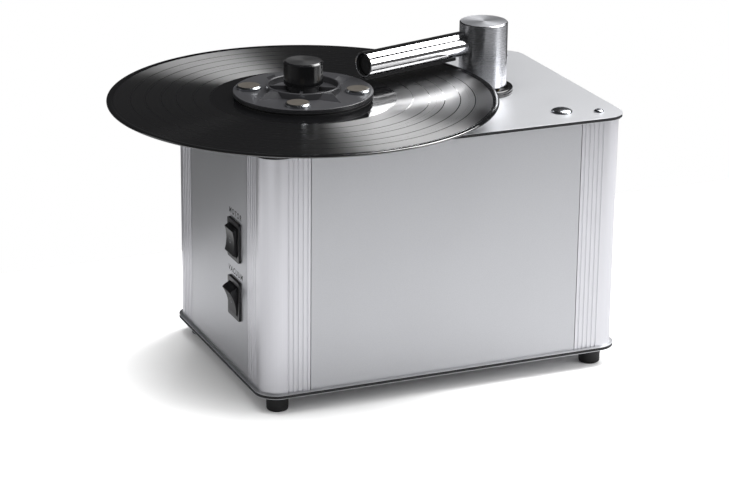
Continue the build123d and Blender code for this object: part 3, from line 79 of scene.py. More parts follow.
def srgb(code, alpha=1.0):
    """A hex colour as the linear values that shaders take."""
    parts = [int(code[i : i + 2], 16) / 255 for i in (1, 3, 5)]
    linear = [p / 12.92 if p <= 0.04045 else ((p + 0.055) / 1.055) ** 2.4 for p in parts]
    return (*linear, alpha)


def middle(node):
    """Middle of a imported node's box."""
    low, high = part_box(node)
    return (low + high) / 2


# Places and levels, in metres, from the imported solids.
PLATE_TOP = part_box("top_plate")[1].z
RECORD_LOW, RECORD_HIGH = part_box("vinyl_record")
CLAMP_LOW, CLAMP_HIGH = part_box("clamp_disc")
KNOB_LOW, KNOB_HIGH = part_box("clamp_knob")
INSERT_LOW, INSERT_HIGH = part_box("clamp_inserts")
COLUMN_LOW, COLUMN_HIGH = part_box("arm_column")
RING_LOW, RING_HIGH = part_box("arm_guide_ring")
FEET_LOW, FEET_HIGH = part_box("feet")
SCREW_LOW, SCREW_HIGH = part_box("corner_screws")
BOLT_LOW, BOLT_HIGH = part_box("carriage_bolts")
TUBE_LOW, TUBE_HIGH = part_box("arm_tube")
SPINDLE = middle("vinyl_record")
COLUMN = middle("arm_column")

# Sizes that more than one piece shares.
POLE_R = 0.004 * MM  # radius that closes the middle of a round piece
SPINDLE_HOLE_R = 3.63 * MM
SCREW_BOSS_R = 9.1 * MM  # a foot's top, whose middle is a corner screw's place
WEIGHT_RING_R = 42.0 * MM  # spindle to the middle of each of the clamp's weights
WEIGHT_TURN = 63  # degrees from +X to the first weight
QUARTERS = range(0, 360, 90)
ROCKER_REST = {"motor": 0.0, "vacuum": 15.0}  # degrees that each rocker leans out at its top


# ------------------------------------------------------------------ what a user would change
def colour(name, code, description):
    return FloatVectorProperty(
        name=name, description=description, subtype="COLOR", size=4, min=0, max=1, default=srgb(code)
    )


def length(name, millimetres, description):
    return FloatProperty(
        name=name, description=description, unit="LENGTH", min=0, precision=5, default=millimetres * MM
    )


def angle(name, degrees, description):
    return FloatProperty(name=name, description=description, subtype="ANGLE", default=radians(degrees))


class WasherColours(bpy.types.PropertyGroup):
    """Colours of the finishes"""

    skin: colour("Plate skin", "#D9DADD", "Silver lacquer on the plates' and panels' skins")
    # the panels' skin is the plates' silver lacquer made darker: painted shade, for upright panels that catch
    # less lamp light than the plates
    panel: colour("Panel skin", "#CFD0D3", "Silver lacquer on the panels' skins")
    core: colour("Plate core", "#202022", "Polyethylene between the skins")
    extrusion: colour("Corner posts", "#DEDEE2", "Satin anodised aluminium")
    turned: colour("Turned aluminium", "#DADBDF", "Arm column and other turned pieces")
    tube: colour("Arm tube", "#F1F1F3", "Polished tube")
    vinyl: colour("Record", "#0B0B0C", "Pressed record")
    clamp: colour("Record clamp", "#2E2E30", "Moulded clamp")
    knob: colour("Clamp knob", "#0E0E0F", "Gloss black knob")
    insert: colour("Clamp inserts", "#A39C93", "Faces of the clamp's weights")
    rubber: colour("Rubber", "#1D1D1E", "Feet, seals and mounts")
    plastic: colour("Black plastic", "#17171A", "Switches and inlet")
    steel: colour("Plated steel", "#BFC2C6", "Bolts, screws and brackets")
    ink: colour("Print", "#08080A", "Marks beside the switches")


class WasherSizes(bpy.types.PropertyGroup):
    """Sizes of the show pieces' details"""

    round_steps: IntProperty(name="Round steps", description="Sides of a round piece", default=192, min=24)
    plate_corner: length("Plate corner", 18.0, "Radius of the plates' corners")
    upper_skin: length("Upper skin", 0.35, "Skin on the plate's outer side")
    lower_skin: length("Lower skin", 0.3, "Skin on the plate's inner side")
    core_recess: length("Core recess", 0.25, "Depth of the core behind the skins' cut edges")
    label_r: length("Label radius", 50.0, "Paper label of the record")
    lead_out_r: length("Inner groove", 72.0, "Radius where the grooves end")
    rim_w: length("Record rim", 4.25, "Plain band at the record's edge")
    groove_recess: length("Groove recess", 0.25, "Grooves below the record's edge and label")
    track_gap: length("Track gap", 0.7, "Plain band between two tracks")
    tube_r: length("Tube radius", 10.0, "Outside of the arm tube")
    tube_wall: length("Tube wall", 1.2, "Wall of the arm tube")
    tube_reach: length("Tube reach", 119.403, "Column's axis to the tube's open end")
    tube_root: length("Tube root", 9.0, "Column's axis to the tube's inner end")
    tube_offset: length("Tube offset", 6.0, "Tube's axis beside the column's axis")
    tube_angle: angle("Tube angle", 16.4, "Tube's direction, from -X towards -Y")


class WasherStudio(bpy.types.PropertyGroup):
    """Floor, lamps and camera"""

    floor: colour("Floor", "#A4A4A5", "Pale floor, as reflections show it")
    floor_low: FloatVectorProperty(
        name="Floor, low",
        description="Lowest corner of the floor",
        subtype="XYZ",
        size=3,
        default=(-0.7, -0.62, -0.0001),
    )
    floor_high: FloatVectorProperty(
        name="Floor, high",
        description="Highest corner of the floor",
        subtype="XYZ",
        size=3,
        default=(0.9, 0.32, 0),
    )
    room: FloatProperty(name="Room light", description="Strength of light from all round", default=0.6, min=0)
    lens: FloatProperty(name="Lens", description="Camera lens in millimetres", default=132.45, min=1)
    turn: angle("Turn", 23.037, "Camera's direction from +Y")
    tip: angle("Tip", 19.696, "Camera's slope downwards")
    roll: angle("Roll", 0.577, "Camera's roll")
    camera_place: FloatVectorProperty(
        name="Camera", description="Camera's place", subtype="XYZ", size=3, default=(-0.7808, -1.8456, 0.8199)
    )


# ------------------------------------------------------------------ nodes
def add(tree, kind, inputs=None, **settings):
    """Adds a node with its settings, its values and its links."""
    made = tree.nodes.new(kind)
    for name, value in settings.items():
        setattr(made, name, value)
    for socket, value in (inputs or {}).items():
        if isinstance(value, bpy.types.NodeSocket):
            tree.links.new(value, made.inputs[socket])
        else:
            made.inputs[socket].default_value = value
    return made


def finish(build, *values, use=""):
    """The material that a finish's function builds, made once for each use."""
    name = "_".join([build.__name__, use]) if use else build.__name__
    made = bpy.data.materials.get(name)
    if made is None:
        made = bpy.data.materials.new(name)
        made.use_nodes = True
        made.node_tree.nodes.clear()
        shader = build(made.node_tree, *values)
        add(made.node_tree, "ShaderNodeOutputMaterial", {"Surface": shader.outputs[0]})
    return made


def shade_between(tree, fraction, dark, light):
    """A colour between two, where a pattern gives the share of the light one."""
    return add(tree, "ShaderNodeMix", {0: fraction, 6: dark, 7: light}, data_type="RGBA").outputs[2]


def spread(tree, value, low, high):
    """A pattern from 0 to 1, spread over a range of values."""
    return add(tree, "ShaderNodeMapRange", {"Value": value, "To Min": low, "To Max": high}).outputs[0]


def tinted(base, factor):
    """A colour made lighter or darker."""
    return (*[min(1.0, c * factor) for c in base[:3]], 1.0)


def about_axis(tree, axis):
    """Distance from an upright axis, height, and the direction across turning marks.

    The direction is square to the surface's normal and to the marks, as a shader's tangent.
    """
    place = add(tree, "ShaderNodeTexCoord").outputs["Object"]
    centred = add(tree, "ShaderNodeMapping", {"Vector": place, "Location": (-axis[0], -axis[1], 0)})
    outward = add(tree, "ShaderNodeVectorMath", {0: centred.outputs[0], 1: (1, 1, 0)}, operation="MULTIPLY")
    radius = add(tree, "ShaderNodeVectorMath", {0: outward.outputs[0]}, operation="LENGTH")
    height = add(tree, "ShaderNodeSeparateXYZ", {0: place})
    in_room = add(
        tree,
        "ShaderNodeVectorTransform",
        {0: outward.outputs[0]},
        vector_type="VECTOR",
        convert_from="OBJECT",
        convert_to="WORLD",
    )
    upright_by_way = {0: (0, 0, 1), 1: in_room.outputs[0]}
    along = add(tree, "ShaderNodeVectorMath", upright_by_way, operation="CROSS_PRODUCT")
    along_by_normal = {0: along.outputs[0], 1: add(tree, "ShaderNodeNewGeometry").outputs["Normal"]}
    across = add(tree, "ShaderNodeVectorMath", along_by_normal, operation="CROSS_PRODUCT")
    return radius.outputs["Value"], height.outputs["Z"], across.outputs[0]


def ring_pattern(tree, radius, height, spacing, detail=3.0):
    """Uneven rings at about a given spacing, on faces and sides alike."""
    total = add(tree, "ShaderNodeMath", {0: radius, 1: height}, operation="ADD")
    return add(
        tree,
        "ShaderNodeTexNoise",
        {"W": total.outputs[0], "Scale": 1 / spacing, "Detail": detail, "Roughness": 0.6},
        noise_dimensions="1D",
    ).outputs[0]


def speckle(tree, size, detail=2.0, stretch=(1, 1, 1)):
    """A cloud pattern with grains of about a given size."""
    place = add(tree, "ShaderNodeTexCoord").outputs["Object"]
    scaled = add(tree, "ShaderNodeMapping", {"Vector": place, "Scale": stretch})
    return add(
        tree, "ShaderNodeTexNoise", {"Vector": scaled.outputs[0], "Scale": 1 / size, "Detail": detail}
    ).outputs[0]


def relief(tree, pattern, depth, strength=1.0):
    """A surface raised by a pattern."""
    raised = {"Height": pattern, "Distance": depth, "Strength": strength}
    return add(tree, "ShaderNodeBump", raised).outputs[0]


# ------------------------------------------------------------------ finishes
def lacquered_skin(tree, base):
    """Coil-lacquered aluminium sheet: silver flakes sparkle softly, and the skin has a faint orange peel."""
    flake = speckle(tree, 0.9 * MM, 4.0)
    cloud = speckle(tree, 60 * MM, 2.0)
    peel = speckle(tree, 2.2 * MM, 2.0)
    tone = shade_between(tree, flake, tinted(base, 0.93), tinted(base, 1.05))
    return add(
        tree,
        "ShaderNodeBsdfPrincipled",
        {
            "Base Color": tone,
            "Metallic": 0.88,
            "Roughness": spread(tree, cloud, 0.40, 0.46),
            "Normal": relief(tree, peel, 0.02 * MM, 0.5),
        },
    )


def skin_cut_edge(tree, base):
    """Sawn and deburred edge of the aluminium skin: bare bright metal with saw marks across."""
    marks = speckle(tree, 0.5 * MM, 2.0, (1, 1, 0.1))
    return add(
        tree,
        "ShaderNodeBsdfPrincipled",
        {
            "Base Color": shade_between(tree, marks, tinted(base, 0.95), tinted(base, 1.1)),
            "Metallic": 0.7,
            "Roughness": spread(tree, marks, 0.3, 0.42),
            "Normal": relief(tree, marks, 0.02 * MM, 0.5),
        },
    )


def polyethylene_core(tree, base):
    """Black polyethylene between the skins, sawn: dull and slightly torn along the cut."""
    torn = speckle(tree, 0.7 * MM, 3.0, (1, 1, 0.3))
    return add(
        tree,
        "ShaderNodeBsdfPrincipled",
        {
            "Base Color": shade_between(tree, torn, tinted(base, 0.75), tinted(base, 1.3)),
            "Roughness": spread(tree, torn, 0.5, 0.75),
            "Normal": relief(tree, torn, 0.05 * MM, 0.6),
        },
    )


def anodised_extrusion(tree, base):
    """Extruded aluminium, satin anodised: drawing lines up the post spread highlights sideways."""
    # real drawing lines are 0.05 to 0.2 mm apart; drawn at 0.8 mm so that they show
    lines = speckle(tree, 0.8 * MM, 3.0, (1, 1, 0.004))
    upright_by_normal = {0: (0, 0, 1), 1: add(tree, "ShaderNodeNewGeometry").outputs["Normal"]}
    sideways = add(tree, "ShaderNodeVectorMath", upright_by_normal, operation="CROSS_PRODUCT")
    return add(
        tree,
        "ShaderNodeBsdfPrincipled",
        {
            "Base Color": shade_between(tree, lines, tinted(base, 0.95), tinted(base, 1.03)),
            "Metallic": 0.85,
            "Roughness": spread(tree, lines, 0.30, 0.38),
            "Anisotropic": 0.5,
            "Tangent": sideways.outputs[0],
            "Normal": relief(tree, lines, 0.01 * MM, 0.5),
        },
    )


def turned_metal(tree, base, axis, roughness, grain):
    """Metal turned on a lathe: fine rings draw the light out into streaks across them."""
    radius, height, across = about_axis(tree, axis)
    rings = ring_pattern(tree, radius, height, grain)
    return add(
        tree,
        "ShaderNodeBsdfPrincipled",
        {
            "Base Color": shade_between(tree, rings, tinted(base, 0.96), tinted(base, 1.03)),
            "Metallic": 1.0,
            "Roughness": spread(tree, rings, roughness * 0.95, roughness * 1.06),
            "Anisotropic": 0.75,
            "Tangent": across,
            "Normal": relief(tree, rings, 0.0015 * MM, 0.4),
        },
    )


def faced_end(tree, base, axis):
    """Turned aluminium, faced end: coarser than the sides, so it glows evenly, with a streak across."""
    radius, height, across = about_axis(tree, axis)
    rings = ring_pattern(tree, radius, height, 0.5 * MM)
    return add(
        tree,
        "ShaderNodeBsdfPrincipled",
        {
            "Base Color": shade_between(tree, rings, tinted(base, 0.9), tinted(base, 1.06)),
            "Metallic": 1.0,
            "Roughness": spread(tree, rings, 0.4, 0.47),
            "Anisotropic": 0.35,
            "Tangent": across,
            "Normal": relief(tree, rings, 0.006 * MM, 0.5),
        },
    )


def polished_tube(tree, base):
    """Chromed tube, buffed: nearly a mirror, with a faint haze."""
    haze = speckle(tree, 6 * MM, 3.0)
    return add(
        tree,
        "ShaderNodeBsdfPrincipled",
        {
            "Base Color": shade_between(tree, haze, tinted(base, 0.97), tinted(base, 1.0)),
            "Metallic": 1.0,
            "Roughness": spread(tree, haze, 0.05, 0.09),
        },
    )


def pressed_grooves(tree, base, axis):
    """Pressed record, grooved: light is drawn out along the radius into two opposite fans."""
    radius, _, across = about_axis(tree, axis)
    # real grooves are 0.1 mm apart and too fine to show; loud and quiet passages show as bands
    bands = ring_pattern(tree, radius, radius, 1.6 * MM, 5.0)
    return add(
        tree,
        "ShaderNodeBsdfPrincipled",
        {
            "Base Color": shade_between(tree, bands, tinted(base, 0.7), tinted(base, 1.6)),
            "Roughness": spread(tree, bands, 0.25, 0.33),
            "IOR": 3.0,
            "Anisotropic": 1.0,
            "Tangent": across,
            "Coat Weight": 0.12,
            "Coat Roughness": 0.08,
        },
    )


def pressed_plain(tree, base, axis):
    """Pressed record, plain: a dark mirror with faint pressing rings."""
    radius, height, across = about_axis(tree, axis)
    rings = ring_pattern(tree, radius, height, 1.2 * MM)
    return add(
        tree,
        "ShaderNodeBsdfPrincipled",
        {
            "Base Color": shade_between(tree, rings, tinted(base, 0.8), tinted(base, 1.3)),
            "Roughness": spread(tree, rings, 0.07, 0.12),
            "IOR": 2.4,
            "Anisotropic": 0.4,
            "Tangent": across,
            "Normal": relief(tree, rings, 0.002 * MM, 0.5),
        },
    )


def blank_label(tree):
    """Plain uncoated paper label: soft, warm and slightly fibrous."""
    fibre = speckle(tree, 0.4 * MM, 4.0)
    return add(
        tree,
        "ShaderNodeBsdfPrincipled",
        {
            "Base Color": shade_between(tree, fibre, srgb("#B9B3A6"), srgb("#CCC7BB")),
            "Roughness": spread(tree, fibre, 0.7, 0.85),
            "Normal": relief(tree, fibre, 0.03 * MM, 0.4),
        },
    )


def moulded_clamp(tree, base, axis):
    """Glass-filled nylon, moulded: satin charcoal with a fine grain and faint flow rings."""
    radius, height, across = about_axis(tree, axis)
    rings = ring_pattern(tree, radius, height, 0.9 * MM)
    grain = speckle(tree, 0.5 * MM, 3.0)
    return add(
        tree,
        "ShaderNodeBsdfPrincipled",
        {
            "Base Color": shade_between(tree, grain, tinted(base, 0.8), tinted(base, 1.2)),
            "Metallic": 0.15,
            "Roughness": spread(tree, rings, 0.3, 0.4),
            "Anisotropic": 0.4,
            "Tangent": across,
            "Normal": relief(tree, grain, 0.012 * MM, 0.4),
        },
    )


def gloss_phenolic(tree, base):
    """Phenolic moulding, buffed: deep black gloss with the faintest haze."""
    haze = speckle(tree, 3 * MM, 4.0)
    return add(
        tree,
        "ShaderNodeBsdfPrincipled",
        {
            "Base Color": shade_between(tree, haze, tinted(base, 0.8), tinted(base, 1.4)),
            "Roughness": spread(tree, haze, 0.13, 0.2),
            "IOR": 1.55,
            "Coat Weight": 0.3,
            "Coat Roughness": 0.05,
            "Normal": relief(tree, haze, 0.01 * MM, 0.2),
        },
    )


def knob_face(tree, base, axis):
    """The knob's faced end: turned black plastic, paler and more satin than its sides."""
    radius, height, across = about_axis(tree, axis)
    rings = ring_pattern(tree, radius, height, 0.4 * MM)
    return add(
        tree,
        "ShaderNodeBsdfPrincipled",
        {
            "Base Color": shade_between(tree, rings, tinted(base, 0.9), tinted(base, 1.6)),
            "Roughness": spread(tree, rings, 0.4, 0.46),
            "IOR": 2.0,
            "Anisotropic": 0.3,
            "Tangent": across,
            "Normal": relief(tree, rings, 0.006 * MM, 0.5),
        },
    )


def lapped_face(tree, base):
    """Nickel-plated weight, lapped face: greyish brown with fine scratches and finger haze."""
    scratch = speckle(tree, 0.35 * MM, 3.0, (1, 0.08, 1))
    haze = speckle(tree, 5 * MM, 3.0)
    return add(
        tree,
        "ShaderNodeBsdfPrincipled",
        {
            "Base Color": shade_between(tree, haze, tinted(base, 0.72), tinted(base, 1.1)),
            "Metallic": 0.9,
            "Roughness": spread(tree, scratch, 0.26, 0.4),
            "Normal": relief(tree, scratch, 0.006 * MM, 0.5),
        },
    )


def bright_plate(tree, base):
    """Bright nickel or polished steel: sharp highlights and slight haze."""
    haze = speckle(tree, 1.5 * MM, 3.0)
    return add(
        tree,
        "ShaderNodeBsdfPrincipled",
        {
            "Base Color": shade_between(tree, haze, tinted(base, 0.92), tinted(base, 1.05)),
            "Metallic": 1.0,
            "Roughness": spread(tree, haze, 0.2, 0.27),
            "Normal": relief(tree, haze, 0.004 * MM, 0.4),
        },
    )


def zinc_plate(tree, base):
    """Pressed steel, zinc plated: grey, slightly blue, with cloudy spangle."""
    spangle = speckle(tree, 4 * MM, 5.0)
    return add(
        tree,
        "ShaderNodeBsdfPrincipled",
        {
            "Base Color": shade_between(tree, spangle, tinted(base, 0.78), tinted(base, 1.02)),
            "Metallic": 1.0,
            "Roughness": spread(tree, spangle, 0.26, 0.42),
            "Normal": relief(tree, spangle, 0.01 * MM, 0.4),
        },
    )


def moulded_rubber(tree, base):
    """Moulded rubber: dull black with a bloom and a fine pebbled skin."""
    pebble = speckle(tree, 0.6 * MM, 3.0)
    bloom = speckle(tree, 7 * MM, 3.0)
    return add(
        tree,
        "ShaderNodeBsdfPrincipled",
        {
            "Base Color": shade_between(tree, bloom, tinted(base, 0.8), tinted(base, 1.35)),
            "Roughness": spread(tree, bloom, 0.5, 0.68),
            "Normal": relief(tree, pebble, 0.03 * MM, 0.5),
        },
    )


def moulded_plastic(tree, base, roughness):
    """Injection-moulded plastic with a spark-eroded grain."""
    grain = speckle(tree, 0.35 * MM, 3.0)
    flow = speckle(tree, 9 * MM, 2.0)
    return add(
        tree,
        "ShaderNodeBsdfPrincipled",
        {
            "Base Color": shade_between(tree, flow, tinted(base, 0.85), tinted(base, 1.2)),
            "Roughness": spread(tree, grain, roughness * 0.85, roughness * 1.15),
            "Normal": relief(tree, grain, 0.015 * MM, 0.45),
        },
    )


def tank_polythene(tree, base):
    """Rotomoulded polythene tank: milky, waxy and slightly see-through."""
    cloud = speckle(tree, 14 * MM, 3.0)
    return add(
        tree,
        "ShaderNodeBsdfPrincipled",
        {
            "Base Color": shade_between(tree, cloud, tinted(base, 0.94), tinted(base, 1.03)),
            "Roughness": spread(tree, cloud, 0.38, 0.5),
            "Subsurface Weight": 0.25,
            "Subsurface Scale": 0.004,
            "Normal": relief(tree, cloud, 0.1 * MM, 0.3),
        },
    )


def cast_metal(tree, base, roughness):
    """Die-cast or drawn metal housing: matt, with a sandy skin."""
    sand = speckle(tree, 0.8 * MM, 4.0)
    return add(
        tree,
        "ShaderNodeBsdfPrincipled",
        {
            "Base Color": shade_between(tree, sand, tinted(base, 0.85), tinted(base, 1.1)),
            "Metallic": 0.9,
            "Roughness": spread(tree, sand, roughness * 0.85, roughness * 1.15),
            "Normal": relief(tree, sand, 0.03 * MM, 0.5),
        },
    )


def pressed_felt(tree, base):
    """Pressed wool felt or velvet pile: dark, soft and hairy."""
    hair = speckle(tree, 0.3 * MM, 5.0)
    return add(
        tree,
        "ShaderNodeBsdfPrincipled",
        {
            "Base Color": shade_between(tree, hair, tinted(base, 0.6), tinted(base, 1.6)),
            "Roughness": 0.95,
            "Sheen Weight": 0.5,
            "Sheen Roughness": 0.4,
            "Normal": relief(tree, hair, 0.15 * MM, 0.8),
        },
    )


def screen_print(tree, base):
    """Screen-printed ink: flat and slightly satin, a little uneven in tone."""
    edge = speckle(tree, 0.25 * MM, 3.0)
    return add(
        tree,
        "ShaderNodeBsdfPrincipled",
        {
            "Base Color": shade_between(tree, edge, tinted(base, 0.8), tinted(base, 1.3)),
            "Roughness": spread(tree, edge, 0.4, 0.55),
        },
    )


# ------------------------------------------------------------------ modelling steps
def clear_selection():
    if bpy.context.mode != "OBJECT":
        bpy.ops.object.mode_set(mode="OBJECT")
    bpy.ops.object.select_all(action="DESELECT")


def only(piece):
    """Selects one piece and makes it active."""
    clear_selection()
    piece.select_set(True)
    bpy.context.view_layer.objects.active = piece


def named(piece, name):
    """Names a piece and its mesh."""
    piece.name = name
    piece.data.name = name
    return piece


def into_mesh(piece, place):
    """Puts a piece at a place and into its mesh, so that its object stays at the origin."""
    only(piece)
    piece.matrix_world = place
    bpy.ops.object.transform_apply(location=True, rotation=True, scale=True)
    return piece


def turn_about(axis, angle):
    """A turn about an upright axis, in radians."""
    pivot = Matrix.Translation((axis[0], axis[1], 0))
    return pivot @ Matrix.Rotation(angle, 4, "Z") @ pivot.inverted()


def new_piece(name):
    """Names the piece that was just added and puts its place into its mesh."""
    piece = named(bpy.context.object, name)
    bpy.ops.object.transform_apply(location=True, rotation=True, scale=True)
    return piece


def choose(piece, kind, test):
    """Selects the faces, edges or points of a piece that pass a test of place and direction, in edit mode."""
    only(piece)
    bpy.ops.object.mode_set(mode="EDIT")
    bpy.ops.mesh.select_mode(type=kind)
    bpy.ops.mesh.select_all(action="DESELECT")
    bpy.ops.object.mode_set(mode="OBJECT")
    points = piece.data.vertices
    if kind == "FACE":
        for face in piece.data.polygons:
            face.select = test(face.center, face.normal)
    elif kind == "EDGE":
        for edge in piece.data.edges:
            start, end = (points[i].co for i in edge.vertices)
            edge.select = test((start + end) / 2, (end - start).normalized())
    else:
        for point in points:
            point.select = test(point.co, point.normal)
    bpy.ops.object.mode_set(mode="EDIT")


def close_up(piece, gap=0.02 * MM):
    """Merges touching points, closes open ends and turns every face outwards."""
    only(piece)
    bpy.ops.object.mode_set(mode="EDIT")
    bpy.ops.mesh.select_mode(type="VERT")
    bpy.ops.mesh.select_all(action="SELECT")
    bpy.ops.mesh.remove_doubles(threshold=gap)
    bpy.ops.mesh.fill_holes(sides=0)
    bpy.ops.mesh.select_all(action="SELECT")
    bpy.ops.mesh.normals_make_consistent(inside=False)
    bpy.ops.object.mode_set(mode="OBJECT")


def apply_modifier(piece, kind, **settings):
    only(piece)
    bpy.ops.object.modifier_add(type=kind)
    made = piece.modifiers[-1]
    for name, value in settings.items():
        setattr(made, name, value)
    bpy.ops.object.modifier_apply(modifier=made.name)


def eased(piece, width, steps=2, angle=32):
    """Rounds a piece's sharp edges and shades it evenly."""
    only(piece)
    bpy.ops.object.shade_smooth()
    if width:
        apply_modifier(
            piece,
            "BEVEL",
            width=width,
            segments=steps,
            limit_method="ANGLE",
            angle_limit=radians(angle),
            harden_normals=True,
            use_clamp_overlap=True,
        )
    only(piece)
    bpy.ops.object.shade_smooth_by_angle(angle=radians(40))
    apply_modifier(piece, "WEIGHTED_NORMAL", keep_sharp=True, weight=80)


def turned(name, axis, profile, steps):
    """Draws a round piece out ring by ring, from a profile of radii and heights.

    A radius of 0 ends in a pole, and a profile that comes back to its start is a closed ring.
    """
    clear_selection()
    radius, height = profile[0]
    radius = max(radius, POLE_R)
    bpy.ops.mesh.primitive_circle_add(
        vertices=steps, radius=radius, fill_type="NOTHING", location=(axis[0], axis[1], height)
    )
    piece = new_piece(name)
    bpy.ops.object.mode_set(mode="EDIT")
    bpy.ops.mesh.select_mode(type="EDGE")
    bpy.ops.mesh.select_all(action="SELECT")
    for next_radius, next_height in profile[1:]:
        next_radius = max(next_radius, POLE_R)
        bpy.ops.mesh.extrude_region_move(TRANSFORM_OT_translate={"value": (0, 0, next_height - height)})
        scale = next_radius / radius
        bpy.ops.transform.resize(value=(scale, scale, 1), center_override=(axis[0], axis[1], next_height))
        radius, height = next_radius, next_height
    close_up(piece)
    return piece


def slab(name, low, high, corner, steps=14):
    """A plate with rounded corners, from a cube."""
    clear_selection()
    bpy.ops.mesh.primitive_cube_add(size=1, location=(low + high) / 2, scale=high - low)
    piece = new_piece(name)
    if corner:
        choose(piece, "EDGE", lambda place, way: abs(way.z) > 0.99)
        bpy.ops.mesh.bevel(offset=corner, segments=steps, affect="EDGES")
        bpy.ops.object.mode_set(mode="OBJECT")
    return piece


def cut(piece, cutters, kind="DIFFERENCE"):
    """Cuts other pieces out of one, or joins them to it, and removes them."""
    for cutter in cutters:
        apply_modifier(piece, "BOOLEAN", operation=kind, object=cutter, solver="EXACT")
    clear_selection()
    for cutter in cutters:
        bpy.data.objects.remove(cutter)


def drill(place, radius, depth, steps=48):
    """A plain rod that cuts an upright hole."""
    clear_selection()
    bpy.ops.mesh.primitive_cylinder_add(vertices=steps, radius=radius, depth=depth, location=place)
    return new_piece("drill")


def copied(piece, name, place):
    """A copy with its own mesh, at another place."""
    only(piece)
    bpy.ops.object.duplicate(linked=False)
    return into_mesh(named(bpy.context.object, name), place)


def joined(pieces, name):
    """Several pieces as one."""
    clear_selection()
    for piece in pieces:
        piece.select_set(True)
    bpy.context.view_layer.objects.active = pieces[0]
    bpy.ops.object.join()
    return named(bpy.context.object, name)


def from_node(node, name, width=0.0, steps=2):
    """A smooth-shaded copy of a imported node, with its edges eased."""
    only(frame["nodes"][node])
    bpy.ops.object.duplicate(linked=False)
    piece = bpy.context.object
    bpy.ops.object.parent_clear(type="CLEAR_KEEP_TRANSFORM")
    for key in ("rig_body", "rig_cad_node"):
        if key in piece:
            del piece[key]
    named(piece, name)
    piece.data.materials.clear()
    bpy.ops.mesh.customdata_custom_splitnormals_clear()
    bpy.ops.object.mode_set(mode="EDIT")
    bpy.ops.mesh.select_all(action="SELECT")
    bpy.ops.mesh.remove_doubles(threshold=0.001 * MM)
    bpy.ops.mesh.dissolve_limited(angle_limit=radians(0.5))
    bpy.ops.object.mode_set(mode="OBJECT")
    eased(piece, width, steps)
    return piece


def paint(piece, *materials):
    """Gives a piece its materials, in the order that its faces number them."""
    piece.data.materials.clear()
    for material in materials:
        piece.data.materials.append(material)
    return piece


def mark_faces(piece, number, test):
    """Gives faces that pass a test of place and direction another of the piece's materials."""
    for face in piece.data.polygons:
        if test(face.center, face.normal):
            face.material_index = number


def settle(piece, body, slot, *nodes):
    """Puts a piece on its body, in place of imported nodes."""
    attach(piece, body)
    if nodes:
        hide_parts(*nodes)
    return piece


def reach(place, axis):
    """Distance of a place from an upright axis."""
    return hypot(place.x - axis[0], place.y - axis[1])


def polar(axis, radius, angle, height=0.0):
    """Place at an angle, in degrees from +X, about an upright axis."""
    return Vector((axis[0] + radius * cos(radians(angle)), axis[1] + radius * sin(radians(angle)), height))


# ------------------------------------------------------------------ pieces
class WASHER_OT_plates(bpy.types.Operator):
    """Top and bottom plates: lacquered skins on a dark core that stands back between them"""

    bl_idname = "washer.plates"
    bl_label = "Plates"

    def execute(self, context):
        sizes, colours = context.scene.washer_sizes, context.scene.washer_colours
        screws = [(place, 2.4 * MM) for place in corner_places()]
        bolts = [(place, 3.4 * MM) for place in bolt_places()]
        bores = [(middle("spindle_housing"), 14.4 * MM), (COLUMN, 10.9 * MM)]
        holes = {"top_plate": [*screws, *bolts, *bores], "bottom_plate": screws}
        for node, drills in holes.items():
            low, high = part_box(node)
            piece = slab(node + "_sheet", low, high, sizes.plate_corner)
            outer_first = node == "top_plate"
            lower = sizes.lower_skin if outer_first else sizes.upper_skin
            upper = sizes.upper_skin if outer_first else sizes.lower_skin
            levels = (low.z + lower, high.z - upper)
            cut(piece, [drill(Vector((p.x, p.y, high.z)), r, 20 * MM) for p, r in drills])
            for level in levels:
                only(piece)
                bpy.ops.object.mode_set(mode="EDIT")
                bpy.ops.mesh.select_all(action="SELECT")
                bpy.ops.mesh.bisect(plane_co=(0, 0, level), plane_no=(0, 0, 1))
                bpy.ops.object.mode_set(mode="OBJECT")

            def in_core(place, way):
                edge = min(place.x - low.x, high.x - place.x, place.y - low.y, high.y - place.y)
                return levels[0] < place.z < levels[1] and abs(way.z) < 0.5 and edge < 8 * MM

            paint(
                piece,
                finish(lacquered_skin, tuple(colours.skin), use="plate"),
                finish(polyethylene_core, tuple(colours.core)),
                finish(skin_cut_edge, tuple(colours.skin)),
            )
            mark_faces(piece, 2, lambda place, way: abs(way.z) < 0.5)
            mark_faces(piece, 1, in_core)
            choose(piece, "FACE", in_core)
            inwards = {"value": -sizes.core_recess}
            bpy.ops.mesh.extrude_region_shrink_fatten(TRANSFORM_OT_shrink_fatten=inwards)
            bpy.ops.object.mode_set(mode="OBJECT")
            eased(piece, 0.08 * MM, 2, 50)
            settle(piece, "case", "white_skin", node)
        return {"FINISHED"}


def corner_places():
    """Places of the four corner screws."""
    return [
        Vector((x, y, 0))
        for x in (FEET_LOW.x + SCREW_BOSS_R, FEET_HIGH.x - SCREW_BOSS_R)
        for y in (FEET_LOW.y + SCREW_BOSS_R, FEET_HIGH.y - SCREW_BOSS_R)
    ]


def bolt_places():
    """Places of the two carriage bolts."""
    radius = (BOLT_HIGH.y - BOLT_LOW.y) / 2
    y = (BOLT_LOW.y + BOLT_HIGH.y) / 2
    return [Vector((BOLT_LOW.x + radius, y, 0)), Vector((BOLT_HIGH.x - radius, y, 0))]


class WASHER_OT_posts(bpy.types.Operator):
    """Corner posts: grooved extrusions with a rounded outer corner"""

    bl_idname = "washer.posts"
    bl_label = "Corner posts"

    def execute(self, context):
        colours = context.scene.washer_colours
        for corner in ("front_left", "front_right", "back_left", "back_right"):
            node = "corner_post_" + corner
            piece = from_node(node, "post_" + corner)
            paint(piece, finish(anodised_extrusion, tuple(colours.extrusion)))
            settle(piece, "case", "extrusion", node)
        return {"FINISHED"}


